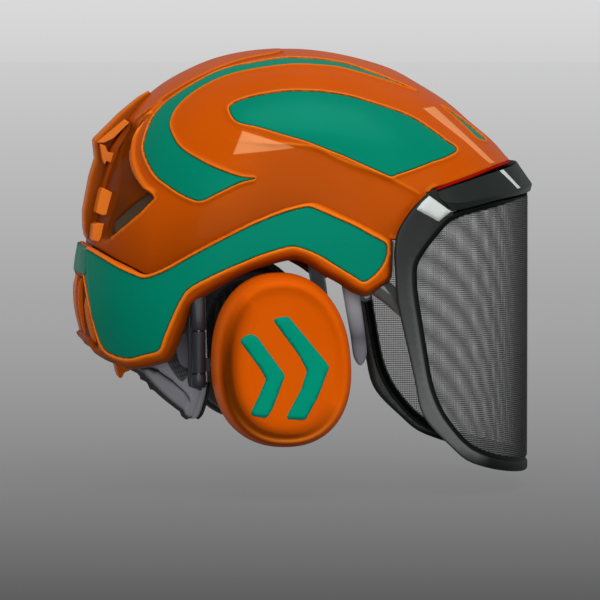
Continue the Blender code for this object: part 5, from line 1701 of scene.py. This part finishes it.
def head_band():
    def section(q):
        # fine ribs at the rear
        rib = 0.35 * (sin(q * 90) > 0) if abs(q - pi) < 0.75 else 0.0
        return [(-1.8, 40.5), (-1.4, 40.0), (0.1, 40.0), (0.6, 40.5), (0.6, 42.2), (0.0, 42.9),
                (-0.1 + rib, 46.0), (-0.1 + rib, 54.0), (0.0, 57.1), (0.6, 57.8), (0.6, 59.5),
                (0.1, 60.0), (-1.4, 60.0), (-1.8, 59.5)]

    put(head_loft("head_band", turn(320), section, GREY, True), "helmet", "grey_nylon",
        "headband")
    for i, q in enumerate(np.radians([38, 142, 218, 322])):       # hanger lugs of the cradle
        x, y = head_outline(q, 0.4)
        facing = np.arctan2(y, x - HEAD_X)
        place = (Matrix.Translation((x, y, 52 + band_height(x)))
                 @ Matrix.Rotation(facing, 4, 'Z') @ Matrix.Rotation(pi / 2, 4, 'Y'))
        lug = cone(f"band_lug_{i}", BLACK, place, 24, (6.0, 5.2), 2.0)
        bevel(lug, 0.4)
        put(lug, "helmet", "black_nylon")


def sweat_pad():
    def section(q):
        f = min(1.0, max(0.15, (radians(50) - abs(q)) / radians(5))) ** 0.5
        outer, inner = -2.9, -2.9 - 2.6 * f
        return [(outer, 40.0), (outer, 59.0), (inner, 59.0 - (1 - f) * 3),
                (inner - 0.3 * f, 49.5), (inner, 40.0 + (1 - f) * 3)]

    def quilting(points):
        q = np.arctan2(points[:, 1], points[:, 0] - HEAD_X)
        height = points[:, 2] - band_height(points[:, 0])
        stitch = np.zeros(len(points))
        for row in (44.6, 54.4):
            stitch -= 0.55 * gauss(height - row, 0.8)
        for a in np.radians([-36, -18, 0, 18, 36]):
            stitch -= 0.45 * gauss((q - a) * 90, 0.9) * (np.abs(height - 49.5) < 4.9)
        return stitch

    ob = head_loft("sweat_pad", np.radians(np.linspace(-49.5, 49.5, 61)), section, PAD_CLOTH,
                   False)
    swell(ob, 1.9, 1.1)
    sculpt(ob, quilting)
    put(ob, "helmet", "sweat_pad", "brow_pad")


def web_straps():
    """Six straps that fan out from the crown, each a little deeper than the last."""
    across = np.linspace(-9.6, 9.6, 13)
    for i in range(6):
        q = pi / 6 + pi / 3 * i
        rows = []
        for reach in np.linspace(6, 140, 90):
            x = -8.0 + cos(q) * reach - sin(q) * across
            y = sin(q) * reach + cos(q) * across
            level = plan_level(x, y)
            angle = angle_at(x, y, level)
            normal = shell_normal(level, angle)
            points = shell_point(level, angle) - normal * (20.5 + 0.02 * i)
            points = points - normal * (0.35 * (np.abs(across) > 8.4))[:, None]
            if level.max() > 8.4 or points[:, 2].min() < 84:
                break
            rows.append(points)
        ob = make(f"web_strap_{i}", np.vstack(rows),
                  grid_faces(len(rows), len(across), ring=False), WEBBING, 60)
        thicken(ob, 1.3)
        bake(ob)
        put(ob, "helmet", "grey_nylon", *(["suspension_web"] if i == 0 else []))


def crown_pad():
    """Stuffed oval pad with a stitched ring and four short seams."""
    x0, half_x, half_y = -15, 44, 34
    c, s, k = squircle(turn(96), 2.4)
    rings = [np.stack([x0 + half_x * f * (k * c), half_y * f * (k * s), np.full(96, z)], -1)
             for f, z in ((0.80, 122.5), (0.955, 123.2), (0.975, 125.0), (0.955, 126.8),
                          (0.80, 127.4))]
    ob = loft("crown_cushion", rings, PAD_CLOTH)

    def ratios(points):
        return (points[:, 0] - x0) / half_x, points[:, 1] / half_y

    def seams(points):
        u, v = ratios(points)
        q, angles = np.hypot(u, v), np.arctan2(v, u)
        lift = -0.7 * gauss(q - 0.62, 0.022) - 0.5 * gauss(points[:, 2] - 125.0, 0.5) * (q > 0.9)
        for a in np.radians([45, 135, 225, 315]):
            d = np.abs(np.angle(exp(1j * (angles - a)))) * q * 39
            lift -= 0.5 * gauss(d, 0.9) * (q > 0.2) * (q < 0.6)
        return lift

    swell(ob, 2.2, 1.2,
          hold=lambda points: (points[:, 2] < 123.0) & (np.hypot(*ratios(points)) < 0.7))
    sculpt(ob, seams)
    put(ob, "helmet", "sweat_pad", "crown_pad")


# lower edge of the foam liner, rear to front, (x, z)
LINER_EDGE = [(-118, -14), (-108, -2), (-96, 12), (-91, 26), (-86, 34), (-60, 36.5), (-20, 46),
              (0, 43.5), (20, 41), (40, 46), (46, 58), (50, 74), (60, 79), (70, 83), (84, 87.5),
              (96.4, 91), (111, 95)]


def liner():
    columns, rows = 216, 46
    edge_level, edge_angle = side_to_shell(resample(LINER_EDGE, 2.0, closed=False))
    order = np.argsort(np.abs(edge_angle))
    known, level = np.abs(edge_angle)[order], edge_level[order]
    angles = np.linspace(-pi, pi, columns + 1)[:-1]
    lowest = interp(np.abs(angles), np.concatenate([[0], known, [pi]]),
                    np.concatenate([[level[0]], level, [level[-1]]]))

    def skin(depth, grooved):
        out = []
        for j in range(rows):
            level = 0.03 + (lowest - 0.03) * (j / (rows - 1))
            surface, normal = shell_point(level, angles), shell_normal(level, angles)
            sink = np.zeros(columns)
            if grooved:
                # ventilation grooves fan out from the crown
                x, y = surface[:, 0] + 5, surface[:, 1]
                radius = np.hypot(x, y)
                d = np.full(columns, 99.0)
                for q in np.radians([0, 28, 58, 90, 122, 152, 180]):
                    for sign in (1, -1):
                        gap = np.abs(np.angle(exp(1j * (np.arctan2(y, x) - q * sign))))
                        d = np.minimum(d, gap * radius)
                sink = (-5.5 * clamp(1 - (d / 6.5) ** 4) * clamp((radius - 26) / 8)
                        * clamp((lowest - level) / 0.9))
                sink = sink - 3.0 * clamp(1 - (lowest - level) * 6) ** 2
            out.append(surface - normal * (depth + sink)[:, None])
        return out

    rings = skin(6.6, False) + skin(18.6, True)[::-1]
    faces = grid_faces(len(rings), columns)
    faces += [tuple(range(columns)), tuple(range((len(rings) - 1) * columns, len(rings) * columns))]
    ob = make_outward("foam_liner", np.vstack(rings), faces, LINER_FOAM, 50)
    put(ob, "helmet", "dark_foam", "impact_liner")


# ------------------------------------------------------------ muff arms
# side outlines of the arm and of the pale strip painted as the highlight on its front edge, (x, z)
ARM_OUTLINE = [(-80.0, -47.5), (-68.9, -47.5), (-68.9, -30), (-69.6, -12), (-70.4, 12),
               (-70.8, 27.6), (-79.6, 27.6), (-80.4, 8), (-80.6, -14), (-80.2, -34)]
GLINT_OUTLINE = [(-69.9, -45), (-68.5, -45), (-68.5, -30), (-69.2, -12), (-70.0, 12),
                (-70.5, 30), (-71.9, 30), (-71.4, 12), (-70.6, -12), (-69.9, -30)]
# rounded rectangles: z, x range, inner and outer distance from the middle plane, corner
# radius. The arm grows outwards over the hinge, so that it reads as one smooth piece.
SHOULDER = [(30.8, -79.2, -70.9, 86.0, 89.6, 1.6), (24, -79.6, -70.8, 86.0, 91.0, 2.2),
            (12, -79.6, -70.6, 86.0, 94.6, 3.2), (2, -79.4, -70.3, 86.0, 97.4, 3.8),
            (-5, -79.2, -70.1, 86.0, 98.5, 4.2), (-12.0, -79.1, -70.0, 86.0, 98.6, 4.3),
            (-12.4, -78.9, -70.2, 86.2, 98.4, 4.2)]
FOOT = [(-39.6, -78.9, -70.2, 86.2, 98.4, 4.2), (-40, -79.1, -70.0, 86.0, 98.6, 4.3),
        (-46, -79.1, -70.0, 86.0, 98.6, 4.3), (-47.6, -78.6, -70.4, 86.3, 98.1, 4.0),
        (-48.3, -77.4, -71.6, 87.2, 96.8, 3.0)]
# z and radius of the hinge barrel
BARREL = [(-13.0, 3.9), (-13.4, 4.35), (-20, 4.35), (-26, 4.35), (-32, 4.35), (-38.6, 4.35),
          (-39.0, 3.9)]


def muff_arms():
    ob = prism("muff_arm_right", resample(smooth(ARM_OUTLINE, 3), 2.2), -88.2, -85.1, ARM, 0.8,
               3, 30)
    pair(ob, "muff_bar_{}", "arm_steel", "muff_bar_{}")
    ob = prism("arm_rail_right", GLINT_OUTLINE, -89.0, -86.0, ARM_GLINT, 0.3, 2)
    pair(ob, "muff_bar_{}", "arm_steel")
    for name, rows in (("arm_shoulder_right", SHOULDER), ("arm_foot_right", FOOT)):
        rings = []
        for z, x0, x1, y0, y1, corner in rows:
            radius = min(corner, (x1 - x0) / 2 * 0.98, (y1 - y0) / 2 * 0.98)
            rings.append([(x, -y, z) for x, y in rounded_rectangle(x0, x1, y0, y1, radius, 6)])
        pair(loft(name, rings, ARM), "muff_bar_{}", "arm_steel")
    rings = [[(-74.5 + radius * cos(q), -94.2 + radius * sin(q), z) for q in turn(48)]
             for z, radius in BARREL]
    pair(loft("yoke_barrel_right", rings, ARM, 40, flip=True), "muff_yoke_{}", "arm_steel")


# ------------------------------------------------------------ nape cradle
def nape_point(across, down, lift=0.0, half=66.0, lower_top=0.0, raise_bottom=0.0):
    """Cradle surface: across -1..1, down 0..1 from the upper rear to the lower front edge."""
    across, down = np.asarray(across, float), np.asarray(down, float)
    q = np.abs(np.sin(across * pi / 2))
    y = half * np.sin(across * pi / 2) * (1 - lift / 70)
    top_x, top_z = -108 + 27 * q ** 2.2 + lift * 0.7, -38 + 16 * q ** 2 - lower_top + lift * 0.75
    end_x = -70 + 1 * q ** 2 + lift * 0.7
    end_z = -73 + 24 * q ** 2 + raise_bottom + lift * 0.75
    bow = 2.2 * np.sin(down * pi)
    return np.stack([top_x + (end_x - top_x) * down - bow * 0.55,
                     y * (1 + (0.86 - 1) * down),
                     top_z + (end_z - top_z) * down - bow * 0.75], -1)


def tilted_oval(x, y, half_x, half_y, tilt=0.0):
    c, s = cos(radians(tilt)), sin(radians(tilt))
    return [(x + half_x * cos(q) * c - half_y * sin(q) * s,
             y + half_x * cos(q) * s + half_y * sin(q) * c) for q in turn(40)]


def nape_shell():
    outline = resample(rounded_rectangle(-NAPE_HALF, NAPE_HALF, 0, NAPE_DEEP, 9, 8), 1.5)
    holes = [resample(oval, 0.9) for oval in (
        tilted_oval(57, 13.5, 7.0, 4.6, 25), tilted_oval(-57, 13.5, 7.0, 4.6, -25),
        tilted_oval(0, 16, 9.0, 3.4))]
    grooves = [resample([(sign * x, y) for x, y in ((20, 3.5), (30, 12), (36, 24), (38, 36),
                                                   (35, 43))], 1.2, closed=False)
               for sign in (1, -1)]
    loops = [outline * f + np.array([0, (1 - f) * NAPE_DEEP / 2])
             for f in (0.985, 0.965, 0.94, 0.91, 0.88, 0.85)]
    for hole in holes:
        centre = hole.mean(0)
        loops += [hole] + [centre + (hole - centre) * f for f in (1.25, 1.5)]
    lines = [groove + np.array([shift, 0]) for groove in grooves
             for shift in (-2.4, -1.4, -0.6, 0, 0.6, 1.4, 2.4)]
    flat, faces = triangulate(outline, loops, 2.2, lines)
    faces = cut_holes(flat, faces, holes)

    across, down = flat[:, 0] / NAPE_HALF, flat[:, 1] / NAPE_DEEP
    e = 1e-3
    normal = unit(np.cross(nape_point(across + e, down) - nape_point(across - e, down),
                           nape_point(across, down + e) - nape_point(across, down - e)))
    normal = np.where(normal[:, 2:3] > 0, -normal, normal)
    to_edge = distance_to(flat, outline)
    to_groove = np.minimum(*(distance_to(flat, groove, False) for groove in grooves))
    to_hole = np.min([distance_to(flat, hole) for hole in holes], axis=0)
    out = np.abs(across)
    # raised border and middle, sunken grooves, lips round the holes
    lift = interp(to_edge, [0, 0.8, 2.0, 4.5, 6.0], [0.3, 1.4, 1.8, 1.7, 0.0])
    lift += interp(to_groove, [0, 1.2, 2.4], [-1.4, -1.0, 0.0]) * (to_edge > 6)
    lift += interp(to_hole, [0, 0.8, 2.0], [0.2, 0.8, 0.0]) * (to_edge > 6)
    lift += interp(out, [0.20, 0.24], [1.2, 0.0]) * (to_edge > 2)
    # painted shade in the grooves, round the holes, along the upper edge and on the border at the
    # ends; the middle strip is also darkened
    shade = np.max([interp(out, [0.20, 0.24], [0.97, 0.0]),
                    np.where((to_edge < 5.2) & (out > 0.8), 0.9, 0.0),
                    interp(to_groove, [0, 1.7, 2.4], [1.0, 0.95, 0.0]),
                    interp(down, [0.0, 0.12, 0.25], [0.7, 0.4, 0.0]),
                    interp(to_hole, [0, 0.8, 1.4], [0.8, 0.6, 0.0])], axis=0)
    patch = (interp(out, [0.50, 0.53, 0.66, 0.72], [0, 1, 1, 0])
             * interp(down, [0.3, 0.45, 0.86, 0.9], [0, 1, 1, 0]))
    # painted highlight along the inside of the border, on a patch each side, and faintly all over
    edge = gauss(to_edge - 5.8, 0.7) * 0.6 + 0.30 * patch
    ob = make("nape_shell", nape_point(across, down) + normal * lift[:, None], faces, NAPE_BRIGHTENED, 45,
              edge=clamp(edge + 0.08) * (shade < 0.9), shade=clamp(shade))
    thicken(ob, 2.4, 0.2)
    bake(ob)
    put(ob, "nape", "grey_nylon", "nape_cradle")


def nape_edging(name, start, end, thick, edge, shade, drop):
    """Strip along the cradle's front edge, reaching forwards from start to end."""
    ahead, down = np.array([0.93, 0, 0.10]), np.array([-0.25, 0, -0.97])
    rings = []
    for v in np.linspace(-0.97, 0.97, 97):
        f = sqrt(max(0.04, 1 - abs(v) ** 6))
        root = nape_point(v, 0.985) + down * drop
        a, b = root + ahead * start, root + ahead * (start + (end - start) * f)
        half, middle = thick / 2 * f, (a + b) / 2
        rings.append([a - down * half, a + down * half, middle + down * half * 1.25,
                      b + down * half * 0.7, b - down * half * 0.7, middle - down * half * 1.1])
    ob = loft(name, rings, NAPE_BRIGHTENED)
    paint(ob, edge=edge, shade=shade)
    bevel(ob, 0.4, 2, 25)
    put(ob, "nape", "grey_nylon")


def nape_sleeves():
    """Cloth sleeves over the cradle's ends."""
    for sign, side in ((-1, "right"), (1, "left")):
        outward = unit(np.array([-0.55, sign * 0.62, -0.55]))
        rings = []
        for v in np.linspace(0.56, 1.02, 25):
            fade = (min(1.0, sqrt(max(0.02, (v - 0.55) / 0.06)))
                    * min(1.0, sqrt(max(0.02, (1.03 - v) / 0.05))))
            rings.append(np.array([
                nape_point(sign * v, down + 0.10 * (v - 0.56)) + outward * height * fade
                for down, height in ((0.0, 0.2), (-0.02, 2.6), (0.16, 4.0), (0.34, 4.1),
                                     (0.50, 3.6), (0.60, 2.6), (0.60, 0.2), (0.3, -3.4))]))
        ob = loft(f"nape_sleeve_{side}", rings, PAD_CLOTH)
        swell(ob, 1.9, 0.9, pressure=3.0)
        put(ob, "nape", "sweat_pad")


def nape_cushion():
    up = np.array([0.62, 0, 0.78])
    rings = []
    for v in np.linspace(-0.965, 0.965, 61):
        f = sqrt(max(0.05, 1 - abs(v / 0.99) ** 8))
        a, b = nape_point(v, 0.04, 4.2, 58, 3, 5), nape_point(v, 0.96, 4.2, 58, 3, 5)
        middle = (a + b) / 2
        a, b = middle + (a - middle) * f, middle + (b - middle) * f
        top = up * (2.8 * f + 0.4)
        rings.append(np.array([a, a * 0.7 + b * 0.3, a * 0.3 + b * 0.7, b, b + top,
                               a * 0.3 + b * 0.7 + top, a * 0.7 + b * 0.3 + top, a + top]))

    def fluff(points):
        x, y, z = points.T
        lift = 0.16 * np.sin(x * 2.9 + 1.3 * np.sin(y * 1.7)) * np.sin(y * 2.6 + z * 2.2)
        for seam in (-22, 22):
            lift -= 0.7 * gauss(y - seam, 1.0)
        return lift

    ob = loft("nape_cushion", rings, FUZZ)
    swell(ob, 1.9, 1.3)
    sculpt(ob, fluff)
    put(ob, "nape", "sweat_pad", "nape_pad")


def nape_links():
    """Upright links from the band to the cradle, each with a row of teeth."""
    outline = [(-87.6, 25.4), (-78.6, 25.4), (-76.2, 0), (-73.4, -29.5), (-76.2, -37.2),
               (-83.6, -35.4), (-87.4, -20.5), (-87.8, 0)]
    ob = prism("nape_link_right", resample(smooth(outline, 3), 2.5), -71.3, -69.7, GREY, 0.45,
               2, 30)
    bake(ob)
    paint(ob, edge=0.0, shade=0.3)
    pair(ob, "nape", "grey_nylon", "nape_strap_{}")
    for i in range(9):
        z = 20 - i * 4.6
        ob = prism(f"link_tooth_{i}_right",
                   [(-85.6, z - 1), (-80.2, z - 1), (-80.2, z + 1), (-85.6, z + 1)],
                   -72.0, -71.0, GREY, 0.3, 2)
        bake(ob)
        # faint painted highlight and painted shade on each tooth
        paint(ob, edge=0.1, shade=0.1)
        pair(ob, "nape", "grey_nylon")


def size_dial():
    """Knob on a front-to-back axis with 30 grips, and a small three-sided mark on it."""
    rings = []
    for radius, x in ((5.6, -117.3), (6.4, -116.6), (7.6, -116.5), (8.6, -117.3),
                      (10.2, -117.2), (10.9, -116.4), (11.7, -111.0), (12.0, -108.2),
                      (11.6, -107.4)):
        grip = 0.55 if 10.5 < radius < 11.95 else 0
        q = turn(180)
        r = radius - grip * (0.5 + 0.5 * np.cos(q * 30))
        rings.append(np.stack([np.full(len(q), x), r * np.cos(q), DIAL_Z + r * np.sin(q)], -1))
    put(loft("dial_knob", rings, BLACK, 35, flip=True), "dial", "black_nylon", "size_dial")
    mark = cone("dial_mark", GREY,
                Matrix.Translation((-117.4, 0, DIAL_Z)) @ Matrix.Rotation(pi / 2, 4, 'Y'),
                3, (2.6, 2.4), 0.7, 30)
    bevel(mark, 0.15)
    put(mark, "dial", "grey_nylon")


# ------------------------------------------------------------ build, in order
crown_shell()
vent_grille()
lower_shell()
inlays()
spine()
guard_and_clip()
visor_surround()
screen()
brow_bar()
brow_seal()
stay_arms()
temple_arms()
ear_cap()
chevrons()
cup_plate_and_lining()
ear_cushion()
head_band()
sweat_pad()
web_straps()
crown_pad()
liner()
muff_arms()
nape_shell()
# lip along the cradle's front edge with a painted highlight, and a dark strip ahead of it coloured
# fully with the shade layer
nape_edging("nape_lip", -0.6, 5.2, thick=4.4, edge=0.5, shade=0.0, drop=0.4)
nape_edging("nape_trim", 4.6, 7.0, thick=5.2, edge=0.0, shade=1.0, drop=0.6)
nape_sleeves()
nape_cushion()
nape_links()
size_dial()

# ------------------------------------------------------------ finishes of CAD pieces that stay
KEPT = {"visor_bracket": ORANGE, "visor_pin": STEEL, "stay_pin": STEEL, "muff_socket": BLACK,
        "muff_pin": STEEL, "muff_yoke": BLACK, "tilt_pin": STEEL}
for ob in list(bpy.data.objects):
    for prefix, material in KEPT.items():
        if ob.type == 'MESH' and ob.name.startswith(prefix):
            for slot in ob.material_slots:
                slot.material = material
            soft = ob.modifiers.new("soft_edge", 'BEVEL')
            soft.width = 0.0003
            soft.segments = 2
            soft.limit_method = 'ANGLE'
            soft.angle_limit = radians(40)

# ------------------------------------------------------------ stage, in metres
FLOOR_GAP = 0.010
FLOOR_RADIUS = 60.0
TARGET = Vector(ORIGIN * MM)
CAMERA_DISTANCE = 2.75
CAMERA_TURN, CAMERA_RISE = radians(-7), radians(3.5)
VIEW_WIDTH = 0.384          # width seen at the target
SENSOR = 36
# backdrop grey by height in the frame, bottom to top
BACKDROP = ((0.0, 0.105), (0.27, 0.268), (0.5, 0.392), (0.75, 0.53), (1.0, 0.70))


def backdrop(k):
    """Light grey that falls off towards the bottom of the frame."""
    window = k.add('TexCoord').outputs['Window']
    height = k.add('SeparateXYZ', Vector=window).outputs['Y']
    (start, low), *between, (end, high) = [(place, (grey,) * 3) for place, grey in BACKDROP]
    return k.ramp(height, low, high, start, end, between)


def floor_material():
    """Glowing backdrop colour that is clear from below."""
    k = new_shader("pale_floor")
    colour = backdrop(k)
    k.finish(Emission_Color=colour, Emission_Strength=0.93, Roughness=0.95,
             Base_Color=k.mix(1.0, colour, (0.13, 0.13, 0.13), 'MULTIPLY'),
             Specular_IOR_Level=0.0)
    mixed = k.mix_shader(k.add('NewGeometry').outputs['Backfacing'],
                         k.tree.nodes["Principled BSDF"].outputs['BSDF'],
                         k.add('BsdfTransparent').outputs['BSDF'])
    k.feed(k.tree.nodes['Material Output'].inputs['Surface'], mixed)
    return k.owner


def floor():
    bm = bmesh.new()
    bmesh.ops.create_circle(bm, cap_ends=True, segments=96, radius=FLOOR_RADIUS,
                            matrix=Matrix.Translation((0, 0, cad_box[0][2] - FLOOR_GAP)))
    mesh = bpy.data.meshes.new("studio_floor")
    bm.to_mesh(mesh)
    bm.free()
    ob = link("studio_floor", mesh)
    mesh.materials.append(floor_material())


def camera():
    back = Vector((sin(CAMERA_TURN) * cos(CAMERA_RISE), -cos(CAMERA_TURN) * cos(CAMERA_RISE),
                   sin(CAMERA_RISE)))
    data = bpy.data.cameras.new("camera")
    ob = link("camera", data)
    ob.location = TARGET + back * CAMERA_DISTANCE
    ob.rotation_euler = (-back).to_track_quat('-Z', 'Y').to_euler()
    data.sensor_width = SENSOR
    data.lens = SENSOR * CAMERA_DISTANCE / VIEW_WIDTH
    data.clip_end = 50
    scene.camera = ob


def area_light(name, place, width, height, power, colour=(1, 1, 1), glossy=True):
    """Rectangular light aimed at the target, hidden from the camera."""
    data = bpy.data.lights.new(name, 'AREA')
    data.shape = 'RECTANGLE'
    data.size = width
    data.size_y = height
    data.energy = power
    data.color = colour
    ob = link(name, data)
    ob.location = place
    ob.visible_camera = False
    ob.visible_glossy = glossy
    ob.rotation_euler = (TARGET - Vector(place)).to_track_quat('-Z', 'Y').to_euler()


def world():
    """Soft grey light; the camera sees the backdrop instead."""
    scene.world = bpy.data.worlds.new("studio")
    k = Shader(scene.world)
    light = k.fill(k.tree.nodes["Background"], Color=(0.80, 0.81, 0.83), Strength=0.36)
    seen = k.add('Background', Color=backdrop(k))
    mixed = k.mix_shader(k.add('LightPath').outputs['Is Camera Ray'],
                         light.outputs['Background'], seen.outputs['Background'])
    k.feed(k.tree.nodes['World Output'].inputs['Surface'], mixed)


floor()
camera()
area_light("key_top", (0.15, -0.9, 1.5), width=1.3, height=0.9, power=13, colour=(1, 0.99, 0.97))
area_light("front_fill", (0.9, -1.5, 0.35), width=1.2, height=1.2, power=6)
area_light("camera_fill", (-0.3, -2.0, 0.25), width=1.4, height=1.4, power=13)
area_light("rear_rim", (-1.3, -0.35, 0.7), width=0.8, height=0.8, power=1.6,
           colour=(0.98, 0.99, 1), glossy=False)
area_light("far_side", (0.1, 1.3, 0.9), width=1.2, height=1.2, power=4.5, glossy=False)
world()
